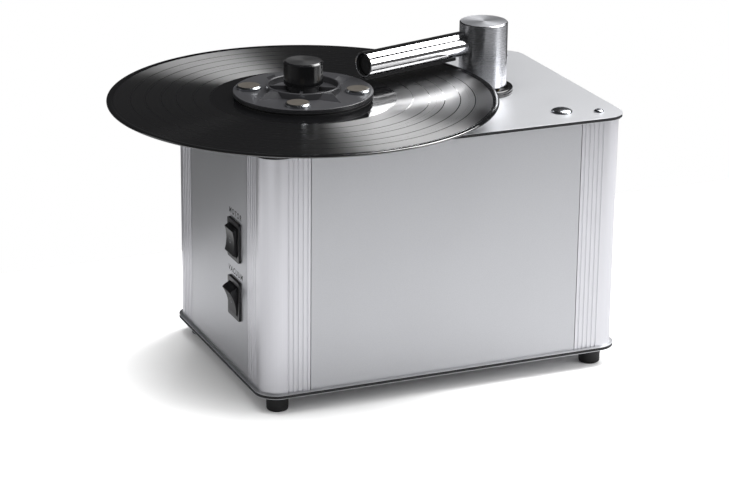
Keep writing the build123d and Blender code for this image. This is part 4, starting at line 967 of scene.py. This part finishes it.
class WASHER_OT_feet(bpy.types.Operator):
    """Four rubber feet, tapered, with a hollow for their screw"""

    bl_idname = "washer.feet"
    bl_label = "Feet"

    def execute(self, context):
        sizes, colours = context.scene.washer_sizes, context.scene.washer_colours
        top = FEET_HIGH.z
        profile = [
            (2.3, top / MM),
            (9.1, top / MM),
            (8.94, 11.0),
            (8.62, 3.0),
            (8.53, 1.3),
            (8.25, 0.5),
            (7.7, 0.1),
            (7.2, 0.0),
            (5.9, 0.0),
            (5.6, 0.3),
            (5.6, 7.0),
            (2.3, 7.0),
            (2.3, top / MM),
        ]
        places = corner_places()
        first = turned("foot_1", places[0], [(r * MM, z * MM) for r, z in profile], 96)
        eased(first, 0)
        paint(first, finish(moulded_rubber, tuple(colours.rubber)))
        for number, place in enumerate(places[1:], 2):
            twin = copied(first, f"foot_{number}", Matrix.Translation(place - places[0]))
            settle(twin, "case", "black_rubber", "feet")
        settle(first, "case", "black_rubber", "feet")
        return {"FINISHED"}


class WASHER_OT_corner_screws(bpy.types.Operator):
    """Button-head screws at the corners, with a hexagon socket"""

    bl_idname = "washer.corner_screws"
    bl_label = "Corner screws"

    def execute(self, context):
        colours = context.scene.washer_colours
        plate = PLATE_TOP
        rise = SCREW_HIGH.z - plate
        head_r, shank_r, shank_l, socket_r = 4.0 * MM, 2.0 * MM, 18.0 * MM, 2.3 * MM
        side, chamfer = 0.35 * MM, 0.4 * MM
        dome = [(head_r * cos(a), plate + side + (rise - side) * sin(a)) for a in arc_steps(0, 62, 6)]
        flat = dome[-1][0]
        profile = [
            (0, SCREW_HIGH.z),
            (flat, SCREW_HIGH.z),
            *reversed(dome[1:]),
            (head_r, plate + side),
            (head_r, plate),
            (shank_r, plate),
            (shank_r, plate - shank_l + chamfer),
            (shank_r - chamfer, plate - shank_l),
            (0, plate - shank_l),
        ]
        places = corner_places()
        first = turned("corner_screw_1", places[0], profile, 64)
        socket = drill(Vector((places[0].x, places[0].y, SCREW_HIGH.z)), socket_r, 2.8 * MM, 6)
        cut(first, [socket])
        eased(first, 0.12 * MM, 2, 40)
        paint(first, finish(bright_plate, tuple(colours.steel)), finish(zinc_plate, tuple(colours.steel)))
        mark_faces(first, 1, lambda place, way: reach(place, places[0]) < socket_r and place.z > plate)
        made = [first]
        for number, place in enumerate(places[1:], 2):
            made.append(copied(first, f"corner_screw_{number}", Matrix.Translation(place - places[0])))
        # the lower four are the upper four turned over, half way down the case
        for number, (place, upper) in enumerate(zip(places, list(made)), 5):
            half_way = Matrix.Translation((place.x, place.y, (plate + SCREW_LOW.z + rise) / 2))
            turned_over = half_way @ Matrix.Rotation(pi, 4, "X") @ half_way.inverted()
            made.append(copied(upper, f"corner_screw_{number}", turned_over))
        for piece in made:
            settle(piece, "case", "zinc_steel", "corner_screws")
        return {"FINISHED"}


def arc_steps(start, end, count):
    """Angles in radians, in even steps between two angles in degrees."""
    return [radians(start + (end - start) * step / count) for step in range(count + 1)]


class WASHER_OT_bolts(bpy.types.Operator):
    """Two carriage bolts with domed heads, and their nuts"""

    bl_idname = "washer.bolts"
    bl_label = "Carriage bolts"

    def execute(self, context):
        colours = context.scene.washer_colours
        plate = PLATE_TOP
        rise = BOLT_HIGH.z - plate
        radius = (BOLT_HIGH.y - BOLT_LOW.y) / 2
        places = bolt_places()
        side, shank_r, chamfer, nut_t = 0.3 * MM, 3.0 * MM, 0.5 * MM, 5.0 * MM
        dome = [(radius * cos(a), plate + side + (rise - side) * sin(a)) for a in arc_steps(0, 90, 14)]
        profile = [
            (0, BOLT_LOW.z),
            (shank_r - chamfer, BOLT_LOW.z),
            (shank_r, BOLT_LOW.z + chamfer),
            (shank_r, plate),
            (radius - side, plate),
            *dome,
        ]
        first = turned("carriage_bolt_1", places[0], profile, 96)
        eased(first, 0)
        bracket_t = 2.5 * MM
        nut_at = Vector((places[0].x, places[0].y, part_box("tank_bracket")[1].z - bracket_t - nut_t / 2))
        nut = drill(nut_at, 5.6 * MM, nut_t, 6)
        cut(nut, [drill(nut_at, shank_r + 0.02 * MM, nut_t + 3.0 * MM)])
        eased(nut, 0.3 * MM, 2, 40)
        first = joined([first, nut], "carriage_bolt_1")
        paint(first, finish(bright_plate, tuple(colours.steel)))
        second = copied(first, "carriage_bolt_2", Matrix.Translation(places[1] - places[0]))
        for piece in (first, second):
            settle(piece, "case", "zinc_steel", "carriage_bolts")
        return {"FINISHED"}


class WASHER_OT_record(bpy.types.Operator):
    """The record: raised rim and label, grooved tracks with plain gaps, and a plain lead-out"""

    bl_idname = "washer.record"
    bl_label = "Record"

    def execute(self, context):
        sizes, colours = context.scene.washer_sizes, context.scene.washer_colours
        low, high = RECORD_LOW.z, RECORD_HIGH.z
        rim = (RECORD_HIGH.x - RECORD_LOW.x) / 2
        mid = (low + high) / 2
        groove_end = rim - sizes.rim_w
        top, under = high - sizes.groove_recess, low + sizes.groove_recess
        gaps = [r * MM for r in (84.0, 97.0, 108.5, 120.5, 132.0)]
        starts = [sizes.lead_out_r]
        for gap in gaps:
            starts += [gap, gap + sizes.track_gap]
        starts.append(groove_end - 1.0 * MM)
        half = high - mid
        bead = [(rim - half * (1 - cos(a)), mid + half * sin(a)) for a in arc_steps(-90, 90, 12)]
        upper = [
            (rim - 2.2 * MM, high),
            (groove_end + 0.6 * MM, high - 0.03 * MM),
            (groove_end, top + 0.04 * MM),
            (groove_end - 0.5 * MM, top),
            *[(r, top) for r in reversed(starts)],
            (60 * MM, top),
            (54.7 * MM, top),
            (54.2 * MM, high - 0.05 * MM),
            (53.4 * MM, high),
            (sizes.label_r, high),
            (30 * MM, high),
            (12 * MM, high),
            (SPINDLE_HOLE_R, high),
        ]
        lower = [
            (SPINDLE_HOLE_R, low),
            (sizes.label_r, low),
            (53.4 * MM, low),
            (54.4 * MM, under),
            (sizes.lead_out_r, under),
            (groove_end - 0.5 * MM, under),
            (groove_end + 0.6 * MM, low + 0.03 * MM),
            (rim - 2.2 * MM, low),
        ]
        profile = [*lower, *bead, *upper, (SPINDLE_HOLE_R, low)]
        piece = turned("record", SPINDLE, profile, 288)
        eased(piece, 0)

        def in_tracks(place, way):
            radius = reach(place, SPINDLE)
            plain = any(gap < radius < gap + sizes.track_gap for gap in gaps)
            return abs(way.z) > 0.9 and starts[0] < radius < starts[-1] and not (plain and way.z > 0)

        paint(
            piece,
            finish(pressed_plain, tuple(colours.vinyl), tuple(SPINDLE)),
            finish(pressed_grooves, tuple(colours.vinyl), tuple(SPINDLE)),
            finish(blank_label),
        )
        mark_faces(piece, 1, in_tracks)
        mark_faces(piece, 2, lambda place, way: abs(way.z) > 0.9 and reach(place, SPINDLE) < sizes.label_r)
        settle(piece, "platter", "vinyl", "vinyl_record")
        return {"FINISHED"}


class WASHER_OT_platter(bpy.types.Operator):
    """The platter under the record, with its mat and spindle pin"""

    bl_idname = "washer.platter"
    bl_label = "Platter"

    def execute(self, context):
        colours = context.scene.washer_colours
        platter = from_node("platter", "platter_disc", 0.3 * MM)
        metal = finish(turned_metal, tuple(colours.turned), tuple(SPINDLE), 0.3, 0.5 * MM, use="platter")
        paint(platter, metal)
        settle(platter, "platter", "turned_aluminium", "platter")
        mat = from_node("platter_mat", "platter_rubber_mat", 0.4 * MM)
        paint(mat, finish(moulded_rubber, tuple(colours.rubber)))
        settle(mat, "platter", "black_rubber", "platter_mat")
        shaft = from_node("spindle_shaft", "spindle_pin", 0)
        paint(shaft, finish(bright_plate, tuple(colours.steel)))
        settle(shaft, "platter", "bright_steel", "spindle_shaft")
        return {"FINISHED"}


class WASHER_OT_clamp(bpy.types.Operator):
    """The record clamp: a grooved disc with a hub ring, gussets and spokes, four weights and a knob"""

    bl_idname = "washer.clamp"
    bl_label = "Record clamp"

    def execute(self, context):
        sizes, colours = context.scene.washer_sizes, context.scene.washer_colours
        steps = sizes.round_steps
        axis = SPINDLE
        low = CLAMP_LOW.z
        top = INSERT_LOW.z + 1.6 * MM
        hub_top = CLAMP_HIGH.z
        ring_top = top + 5.0 * MM
        rim = (CLAMP_HIGH.x - CLAMP_LOW.x) / 2
        side = [
            (rim - 0.25 * MM, low),
            (rim, low + 0.2 * MM),
            (rim, low + 0.7 * MM),
            (rim - 0.9 * MM, low + 0.75 * MM),
            (rim - 0.9 * MM, low + 1.25 * MM),
            (rim, low + 1.3 * MM),
            (rim, low + 1.9 * MM),
            (rim - 0.9 * MM, low + 1.95 * MM),
            (rim - 0.9 * MM, low + 2.35 * MM),
            (rim, low + 2.4 * MM),
            (rim, top - 0.35 * MM),
            (rim - 0.35 * MM, top - 0.02 * MM),
            (rim - 1.1 * MM, top),
        ]
        hub = [
            (44 * MM, top),
            (28.9 * MM, top),
            (28.75 * MM, ring_top - 0.35 * MM),
            (28.4 * MM, ring_top),
            (27.2 * MM, ring_top),
            (26.8 * MM, ring_top - 0.35 * MM),
            (26.7 * MM, top),
            (12.2 * MM, top),
            (12.0 * MM, hub_top - 0.3 * MM),
            (11.7 * MM, hub_top),
            (SPINDLE_HOLE_R, hub_top),
        ]
        disc = turned("clamp_body", axis, [(SPINDLE_HOLE_R, low), *side, *hub, (SPINDLE_HOLE_R, low)], steps)
        weight_r, fit = 9.8 * MM, 0.05 * MM
        gussets = [gusset(axis, top, ring_top - 0.5 * MM, WEIGHT_TURN - 45 + turn) for turn in QUARTERS]
        spokes = [spoke(axis, top, 3.0 * MM, WEIGHT_TURN + turn) for turn in QUARTERS]
        centres = [polar(axis, WEIGHT_RING_R, WEIGHT_TURN + turn, top + 0.9 * MM) for turn in QUARTERS]
        wells = [drill(centre, weight_r + fit, 5.0 * MM, 96) for centre in centres]
        cut(disc, [*gussets, *spokes], "UNION")
        cut(disc, wells)
        eased(disc, 0.22 * MM, 2, 40)
        paint(disc, finish(moulded_clamp, tuple(colours.clamp), tuple(axis)))
        settle(disc, "clamp", "grey_clamp", "clamp_disc")

        bevel, under_bevel = 1.2 * MM, 0.2 * MM
        profile = [
            (0, INSERT_LOW.z),
            (weight_r - under_bevel, INSERT_LOW.z),
            (weight_r, INSERT_LOW.z + under_bevel),
            (weight_r, INSERT_HIGH.z - bevel),
            (weight_r - bevel, INSERT_HIGH.z),
            (0, INSERT_HIGH.z),
        ]
        first = turned("clamp_weight_1", polar(axis, WEIGHT_RING_R, WEIGHT_TURN), profile, 96)
        eased(first, 0.1 * MM, 2, 30)
        paint(first, finish(bright_plate, tuple(colours.steel)), finish(lapped_face, tuple(colours.insert)))
        mark_faces(first, 1, lambda spot, way: way.z > 0.99)
        weights = [first]
        for number, turn in enumerate(QUARTERS[1:], 2):
            weights.append(copied(first, f"clamp_weight_{number}", turn_about(axis, radians(turn))))
        for weight in weights:
            settle(weight, "clamp", "magnet_steel", "clamp_inserts")

        knob_r = (KNOB_HIGH.x - KNOB_LOW.x) / 2
        base, crown = KNOB_LOW.z, KNOB_HIGH.z
        profile = [
            (0, base + 7.0 * MM),
            (SPINDLE_HOLE_R, base + 7.0 * MM),
            (SPINDLE_HOLE_R, base),
            (knob_r - 0.5 * MM, base),
            (knob_r - 0.1 * MM, base + 0.3 * MM),
            (knob_r, base + 0.8 * MM),
            (knob_r, crown - 1.3 * MM),
            (knob_r - 1.3 * MM, crown),
            (knob_r - 2.4 * MM, crown - 0.05 * MM),
            (6 * MM, crown - 0.12 * MM),
            (0, crown - 0.14 * MM),
        ]
        knob = turned("clamp_grip", axis, profile, steps)
        eased(knob, 0.15 * MM, 2, 30)
        paint(
            knob,
            finish(gloss_phenolic, tuple(colours.knob)),
            finish(knob_face, tuple(colours.knob), tuple(axis)),
        )
        mark_faces(knob, 1, lambda spot, way: way.z > 0.98 and spot.z > crown - 0.3 * MM)
        settle(knob, "clamp", "gloss_black", "clamp_knob")
        return {"FINISHED"}


def gusset(axis, base, crest, degrees):
    """A tapered rib from the hub ring towards the rim, drawn from a cube."""
    near, far, half_width, sunk, slope = 27.8 * MM, 46.0 * MM, 8.5 * MM, 0.5 * MM, 11.0 * MM
    low = Vector((axis[0] + near, axis[1] - half_width, base - sunk))
    high = Vector((axis[0] + far, axis[1] + half_width, crest))
    piece = slab("gusset", low, high, 0)
    # the far end comes to a point, further out at its foot than at its crest
    for level, shift in ((base, 0), (crest, -slope)):
        choose(piece, "VERT", lambda place, way: place.x > high.x - MM and abs(place.z - level) < MM)
        bpy.ops.mesh.merge(type="CENTER")
        bpy.ops.transform.translate(value=(shift, 0, 0))
    choose(piece, "VERT", lambda place, way: place.x < low.x + MM and abs(place.z - crest) < MM)
    bpy.ops.transform.resize(value=(1, 0.5, 1), center_override=(low.x, axis[1], crest))
    close_up(piece, 0.001 * MM)
    return into_mesh(piece, turn_about(axis, radians(degrees)))


def spoke(axis, base, height, degrees):
    """A low rib between the hub's boss and its ring."""
    near, far, half_width, sunk = 11.0 * MM, 27.5 * MM, 1.1 * MM, 0.5 * MM
    low = Vector((axis[0] + near, axis[1] - half_width, base - sunk))
    high = Vector((axis[0] + far, axis[1] + half_width, base + height))
    return into_mesh(slab("spoke", low, high, 0), turn_about(axis, radians(degrees)))


class WASHER_OT_arm(bpy.types.Operator):
    """The suction arm: a turned column, a polished tube with a slot, an end plug and pile lips"""

    bl_idname = "washer.arm"
    bl_label = "Suction arm"

    def execute(self, context):
        sizes, colours = context.scene.washer_sizes, context.scene.washer_colours
        steps = sizes.round_steps
        radius = (COLUMN_HIGH.x - COLUMN_LOW.x) / 2
        foot, crown = COLUMN_LOW.z, COLUMN_HIGH.z
        tube_z = (TUBE_LOW.z + TUBE_HIGH.z) / 2
        # room over the spring for the arm's travel
        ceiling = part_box("lift_spring")[1].z + 5.0 * MM
        wall = 4.8 * MM
        profile = [
            (0, ceiling),
            (radius - wall, ceiling),
            (radius - wall, foot),
            (radius - 0.4 * MM, foot),
            (radius, foot + 0.4 * MM),
            (radius, crown - 0.8 * MM),
            (radius - 0.8 * MM, crown),
            (radius * 0.5, crown - 0.01 * MM),
            (0, crown - 0.02 * MM),
        ]
        column = turned("arm_post", COLUMN, profile, steps)
        eased(column, 0.12 * MM, 2, 30)
        paint(
            column,
            finish(turned_metal, tuple(colours.turned), tuple(COLUMN), 0.27, 0.35 * MM, use="column"),
            finish(faced_end, tuple(colours.turned), tuple(COLUMN)),
        )
        mark_faces(column, 1, lambda spot, way: way.z > 0.95 and spot.z > crown - 0.1 * MM)
        settle(column, "arm", "turned_aluminium", "arm_column")

        outer, inner = sizes.tube_r, sizes.tube_r - sizes.tube_wall
        start, end = sizes.tube_root, sizes.tube_reach
        profile = [
            (inner, start),
            (outer, start),
            (outer, end - 0.3 * MM),
            (outer - 0.25 * MM, end),
            (inner + 0.25 * MM, end),
            (inner, end - 0.25 * MM),
            (inner, start),
        ]
        tube = turned("arm_nozzle", (0, 0), profile, steps)
        snug = inner - 0.02 * MM
        profile = [
            (0, end - 9.5 * MM),
            (snug, end - 9.5 * MM),
            (snug, end - 3.9 * MM),
            (inner - 0.4 * MM, end - 3.5 * MM),
            (inner * 0.6, end - 3.7 * MM),
            (0, end - 3.8 * MM),
        ]
        plug = turned("nozzle_plug", (0, 0), profile, 96)
        # the slot opens the tube's lower side, between the lips
        half_slot = 1.25 * MM
        slot_start, slot_end = Vector((-half_slot, -20 * MM, 30 * MM)), Vector((half_slot, 0, end - 3.4 * MM))
        slot = slab("slot", slot_start, slot_end, 0)
        for piece in (tube, plug, slot):
            lay_down(piece, sizes, tube_z)
        cut(tube, [slot])
        eased(tube, 0)
        eased(plug, 0)
        paint(tube, finish(polished_tube, tuple(colours.tube)))
        paint(plug, finish(moulded_plastic, srgb("#161617"), 0.5, use="plug"))
        settle(tube, "arm", "bright_steel", "arm_tube")
        settle(plug, "arm", "black_plastic", "arm_end_plug")
        lips = from_node("arm_lips", "arm_pile_lips", 0.3 * MM)
        paint(lips, finish(pressed_felt, srgb("#1B1B1D")))
        settle(lips, "arm", "felt", "arm_lips")
        return {"FINISHED"}


def lay_down(piece, sizes, height):
    """Lays a piece drawn upright at the origin along the arm tube's axis."""
    way = Vector((-cos(sizes.tube_angle), -sin(sizes.tube_angle), 0))
    side = Vector((-way.y, way.x, 0))
    turn = Matrix((side, UP, way)).transposed().to_4x4()
    start = Vector((COLUMN.x, COLUMN.y, height)) - side * sizes.tube_offset
    into_mesh(piece, Matrix.Translation(start) @ turn)


class WASHER_OT_guide_ring(bpy.types.Operator):
    """The grooved ring round the foot of the arm's column"""

    bl_idname = "washer.guide_ring"
    bl_label = "Guide ring"

    def execute(self, context):
        sizes, colours = context.scene.washer_sizes, context.scene.washer_colours
        outer = (RING_HIGH.x - RING_LOW.x) / 2
        wall = 4.4 * MM
        inner = outer - wall
        low, high = RING_LOW.z, RING_HIGH.z
        mid = (low + high) / 2
        bend, groove_depth = 1.2 * MM, 0.75 * MM
        crown = [(outer - bend * (1 - cos(a)), high - bend * (1 - sin(a))) for a in arc_steps(0, 90, 6)]
        profile = [
            (inner, low),
            (outer, low),
            (outer, mid - 0.55 * MM),
            (outer - groove_depth, mid - 0.4 * MM),
            (outer - groove_depth, mid + 0.4 * MM),
            (outer, mid + 0.55 * MM),
            *crown,
            (inner + 0.5 * MM, high),
            (inner, high - 0.5 * MM),
            (inner, low),
        ]
        piece = turned("column_ring", COLUMN, profile, sizes.round_steps)
        eased(piece, 0.1 * MM, 2, 35)
        paint(piece, finish(gloss_phenolic, tuple(colours.knob)))
        settle(piece, "case", "gloss_black", "arm_guide_ring")
        return {"FINISHED"}


class WASHER_OT_switches(bpy.types.Operator):
    """Two rocker switches with softened bezels"""

    bl_idname = "washer.switches"
    bl_label = "Switches"

    def execute(self, context):
        colours = context.scene.washer_colours
        for kind in ("motor", "vacuum"):
            body = from_node(kind + "_switch", kind + "_switch_frame", 0.35 * MM)
            paint(body, finish(moulded_plastic, tuple(colours.plastic), 0.32, use="switch"))
            settle(body, "case", "black_plastic", kind + "_switch")
            rocker = from_node(kind + "_rocker", kind + "_switch_rocker", 0.35 * MM)
            paint(rocker, finish(moulded_plastic, tuple(colours.plastic), 0.4, use="rocker"))
            settle(rocker, kind + "_rocker", "black_plastic", kind + "_rocker")
        return {"FINISHED"}


class WASHER_OT_marks(bpy.types.Operator):
    """Printed marks: what each switch turns on, over the switch, and a ring on each rocker"""

    bl_idname = "washer.marks"
    bl_label = "Switch marks"

    def execute(self, context):
        colours = context.scene.washer_colours
        ink = finish(screen_print, tuple(colours.ink))
        pale = finish(screen_print, srgb("#77787C"), use="pale")
        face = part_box("left_panel")[0].x
        letters, ink_t, over, sunk = 6.4 * MM, 0.06 * MM, 5.2 * MM, 0.01 * MM
        ring_r, ring_w, ring_t = 2.2 * MM, 0.6 * MM, 0.14 * MM
        pivot_depth, pivot_to_ring = 1.0 * MM, 5.27 * MM
        for kind in ROCKER_REST:
            centre, top = middle(kind + "_switch"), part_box(kind + "_switch")[1].z
            mark = named(word(kind.upper(), letters, ink_t), kind + "_mark")
            stand_up(mark, Vector((face, centre.y, top + over)), 0.0, -sunk)
            paint(mark, ink)
            settle(mark, "case", "black_plastic")
        for kind, tilt in ROCKER_REST.items():
            centre = middle(kind + "_switch")
            ring = named(flat_ring(ring_r, ring_r - ring_w, ring_t), kind + "_rocker_mark")
            stand_up(ring, Vector((face + pivot_depth, centre.y, centre.z)), tilt, pivot_to_ring)
            paint(ring, pale)
            settle(ring, kind + "_rocker", "black_plastic")
        return {"FINISHED"}


def flat_ring(outer, inner, thick):
    """A flat ring at the origin."""
    profile = [(inner, 0), (outer, 0), (outer, thick), (inner, thick), (inner, 0)]
    return turned("ring", (0, 0), profile, 48)


def word(letters, size, thick):
    """Flat letters about the origin, widely set and leaning a little."""
    clear_selection()
    bpy.ops.object.text_add()
    text = bpy.context.object.data
    text.body = letters
    text.align_x, text.align_y = "CENTER", "CENTER"
    text.size, text.space_character, text.shear = size, 1.3, 0.2
    text.resolution_u = 4
    text.extrude = thick / 2
    text.offset = 0.02 * size
    bpy.ops.object.convert(target="MESH")
    piece = new_piece("word")
    # the letters' faces and sides come apart, and are merged
    bpy.ops.object.mode_set(mode="EDIT")
    bpy.ops.mesh.select_all(action="SELECT")
    bpy.ops.mesh.remove_doubles(threshold=0.0001 * MM)
    bpy.ops.mesh.normals_make_consistent(inside=False)
    bpy.ops.object.mode_set(mode="OBJECT")
    return piece


def stand_up(piece, place, tilt, lift):
    """Puts a flat piece on the left side, with its face to -X, tilted down by some degrees."""
    a = radians(tilt)
    out = Vector((-cos(a), 0, -sin(a)))
    turn = Matrix((Vector((0, -1, 0)), Vector((-sin(a), 0, cos(a))), out)).transposed().to_4x4()
    into_mesh(piece, Matrix.Translation(place + out * lift) @ turn)


class WASHER_OT_back_fittings(bpy.types.Operator):
    """Back of the case: exhaust grille, mains inlet, fuse drawer and drain cap"""

    bl_idname = "washer.back_fittings"
    bl_label = "Back fittings"

    def execute(self, context):
        colours = context.scene.washer_colours
        black = finish(moulded_plastic, tuple(colours.plastic), 0.42, use="inlet")
        grey = finish(moulded_plastic, srgb("#2A2B2D"), 0.45, use="grille")
        rubber = finish(moulded_rubber, tuple(colours.rubber))
        # node, name, rounding in millimetres, body, slot, finish
        rows = [
            ("exhaust_grille", "vent_grille", 0.2, "case", "grey_plastic", grey),
            ("mains_inlet", "power_inlet", 0.4, "case", "black_plastic", black),
            ("fuse_drawer", "fuse_holder", 0.3, "fuse_drawer", "black_plastic", black),
            ("drain_cap", "drain_stopper", 0.4, "drain_cap", "black_rubber", rubber),
        ]
        for node, name, edge, body, slot, material in rows:
            piece = from_node(node, name, edge * MM)
            paint(piece, material)
            settle(piece, body, slot, node)
        return {"FINISHED"}


class WASHER_OT_packed_finishes(bpy.types.Operator):
    """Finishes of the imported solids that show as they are, panels and inner works among them"""

    bl_idname = "washer.packed_finishes"
    bl_label = "Packed solids' finishes"

    def execute(self, context):
        colours = context.scene.washer_colours
        steel = tuple(colours.steel)
        by_slot = {
            "white_skin": finish(lacquered_skin, tuple(colours.skin), use="plate"),
            # panel_skin takes the darker copy of the plates' lacquer, as painted shade on the upright panels
            "panel_skin": finish(lacquered_skin, tuple(colours.panel), use="panel"),
            "extrusion": finish(anodised_extrusion, tuple(colours.extrusion)),
            "turned_aluminium": finish(
                turned_metal, tuple(colours.turned), tuple(SPINDLE), 0.32, 0.5 * MM, use="housing"
            ),
            "black_rubber": finish(moulded_rubber, tuple(colours.rubber)),
            "zinc_steel": finish(zinc_plate, steel),
            "bright_steel": finish(bright_plate, steel),
            "bearing_steel": finish(bright_plate, steel),
            "black_plastic": finish(moulded_plastic, tuple(colours.plastic), 0.42, use="fitting"),
            "gloss_black": finish(gloss_phenolic, tuple(colours.knob)),
            "vinyl": finish(pressed_plain, tuple(colours.vinyl), tuple(SPINDLE)),
            "grey_plastic": finish(moulded_plastic, srgb("#6E7073"), 0.5, use="duct"),
            "tank_plastic": finish(tank_polythene, srgb("#DCDDD8")),
            "grey_clamp": finish(moulded_clamp, tuple(colours.clamp), tuple(SPINDLE)),
            "magnet_steel": finish(lapped_face, tuple(colours.insert)),
            "brass": finish(cast_metal, srgb("#C9A75A"), 0.28, use="brass"),
            "motor_steel": finish(cast_metal, srgb("#8C8F92"), 0.4, use="motor"),
            "felt": finish(pressed_felt, srgb("#1B1B1D")),
        }
        slots = {row["node"]: row["material_slot"] for row in frame["record"]["subparts"]}
        for name, node in frame["nodes"].items():
            for material_slot in node.material_slots:
                material_slot.material = by_slot[slots[name]]
        return {"FINISHED"}


class WASHER_OT_studio(bpy.types.Operator):
    """Floor, lamps, room light and camera"""

    bl_idname = "washer.studio"
    bl_label = "Studio"

    def execute(self, context):
        studio = context.scene.washer_studio
        clear_selection()
        floor = slab("studio_floor", Vector(studio.floor_low), Vector(studio.floor_high), 0)
        paint(floor, finish(studio_paper, tuple(studio.floor)))

        # the key box makes the record's light fans and the white bands on the tube and the column
        lamp("key_box", place=(1.2, 0.3, 1.76), size=(1.25, 1.35), watts=60)
        lamp("side_box", place=(1.7, -1.12, 1.04), size=(0.9, 1.05), watts=18, target=(0.05, 0.0, 0.2))
        lamp("left_card", place=(-1.9, 0.7, 0.9), size=(0.9, 1.0), watts=1.5)
        # above the machine: whitens the floor without showing in the record
        overhead = lamp("overhead_box", place=(-0.2, -0.3, 2.0), size=(1.2, 1.2), watts=62)
        overhead.visible_glossy = False

        context.scene.world = bpy.data.worlds.new("room")
        context.scene.world.use_nodes = True
        room_light(context.scene.world.node_tree, studio.room)

        bpy.ops.object.camera_add(location=studio.camera_place)
        camera = context.object
        camera.name = "camera"
        turn, tip, roll = studio.turn, studio.tip, studio.roll
        ahead = Vector((cos(tip) * sin(turn), cos(tip) * cos(turn), -sin(tip)))
        right = ahead.cross(UP).normalized()
        above = right.cross(ahead)
        across = right * cos(roll) + above * sin(roll)
        above = above * cos(roll) - right * sin(roll)
        camera.rotation_euler = Matrix((across, above, -ahead)).transposed().to_euler()
        camera.data.sensor_fit = "HORIZONTAL"
        camera.data.sensor_width = 36.0
        camera.data.lens = studio.lens
        camera.data.clip_end = 100.0
        context.scene.camera = camera
        context.scene.view_settings.view_transform = "Standard"
        return {"FINISHED"}


def room_light(tree, strength):
    """The room: white to the camera, a soft light on dull surfaces and a dark wall in mirrors."""
    tree.nodes.clear()
    way = add(tree, "ShaderNodeSeparateXYZ", {0: add(tree, "ShaderNodeTexCoord").outputs["Generated"]})
    wall = {"Value": way.outputs["Z"], "From Min": -0.1, "From Max": 0.3, "To Min": 0.1, "To Max": 0.02}
    dark = add(tree, "ShaderNodeMapRange", wall).outputs[0]
    path = add(tree, "ShaderNodeLightPath")
    around, mirrored, white = (
        add(tree, "ShaderNodeBackground", {"Color": (1, 1, 1, 1), "Strength": level}).outputs[0]
        for level in (strength, dark, 1.0)
    )
    lit = add(tree, "ShaderNodeMixShader", {0: path.outputs["Is Diffuse Ray"], 1: mirrored, 2: around})
    seen = add(tree, "ShaderNodeMixShader", {0: path.outputs["Is Camera Ray"], 1: lit.outputs[0], 2: white})
    add(tree, "ShaderNodeOutputWorld", {"Surface": seen.outputs[0]})


def studio_paper(tree, base):
    """Seamless paper: white to the camera, greyer in reflections, and it keeps the object's shadow."""
    fibre = speckle(tree, 2 * MM, 3.0)
    path = add(tree, "ShaderNodeLightPath")
    grey = shade_between(tree, fibre, tinted(base, 0.99), tinted(base, 1.01))
    seen = shade_between(tree, path.outputs["Is Camera Ray"], grey, (1, 1, 1, 1))
    return add(tree, "ShaderNodeBsdfDiffuse", {"Color": seen})


def lamp(name, place, size, watts, target=(0.0, 0.0, 0.2)):
    """A soft box that faces a target."""
    bpy.ops.object.light_add(type="AREA", location=place)
    made = bpy.context.object
    made.name = name
    made.data.shape = "RECTANGLE"
    made.data.size, made.data.size_y = size
    made.data.energy = watts
    made.rotation_euler = (Vector(target) - Vector(place)).to_track_quat("-Z", "Y").to_euler()
    return made


STEPS = (
    WASHER_OT_plates,
    WASHER_OT_posts,
    WASHER_OT_feet,
    WASHER_OT_corner_screws,
    WASHER_OT_bolts,
    WASHER_OT_platter,
    WASHER_OT_record,
    WASHER_OT_clamp,
    WASHER_OT_arm,
    WASHER_OT_guide_ring,
    WASHER_OT_switches,
    WASHER_OT_marks,
    WASHER_OT_back_fittings,
    WASHER_OT_packed_finishes,
    WASHER_OT_studio,
)


class WASHER_PT_panel(bpy.types.Panel):
    """Steps of the record cleaning machine"""

    bl_idname = "WASHER_PT_panel"
    bl_label = "Record washer"
    bl_space_type = "VIEW_3D"
    bl_region_type = "UI"
    bl_category = "Record Washer"

    def draw(self, context):
        for step in STEPS:
            self.layout.operator(step.bl_idname)
        for group in (context.scene.washer_colours, context.scene.washer_sizes, context.scene.washer_studio):
            box = self.layout.box()
            for name in group.bl_rna.properties.keys():
                if name not in ("rna_type", "name"):
                    box.prop(group, name)


CLASSES = (WasherColours, WasherSizes, WasherStudio, *STEPS, WASHER_PT_panel)


def register():
    for made in CLASSES:
        bpy.utils.register_class(made)
    bpy.types.Scene.washer_colours = PointerProperty(type=WasherColours)
    bpy.types.Scene.washer_sizes = PointerProperty(type=WasherSizes)
    bpy.types.Scene.washer_studio = PointerProperty(type=WasherStudio)


def unregister():
    del bpy.types.Scene.washer_studio
    del bpy.types.Scene.washer_sizes
    del bpy.types.Scene.washer_colours
    for made in reversed(CLASSES):
        bpy.utils.unregister_class(made)


def main():
    register()
    for step in STEPS:
        group, name = step.bl_idname.split(".")
        getattr(getattr(bpy.ops, group), name)()


if __name__ == "__main__":
    main()
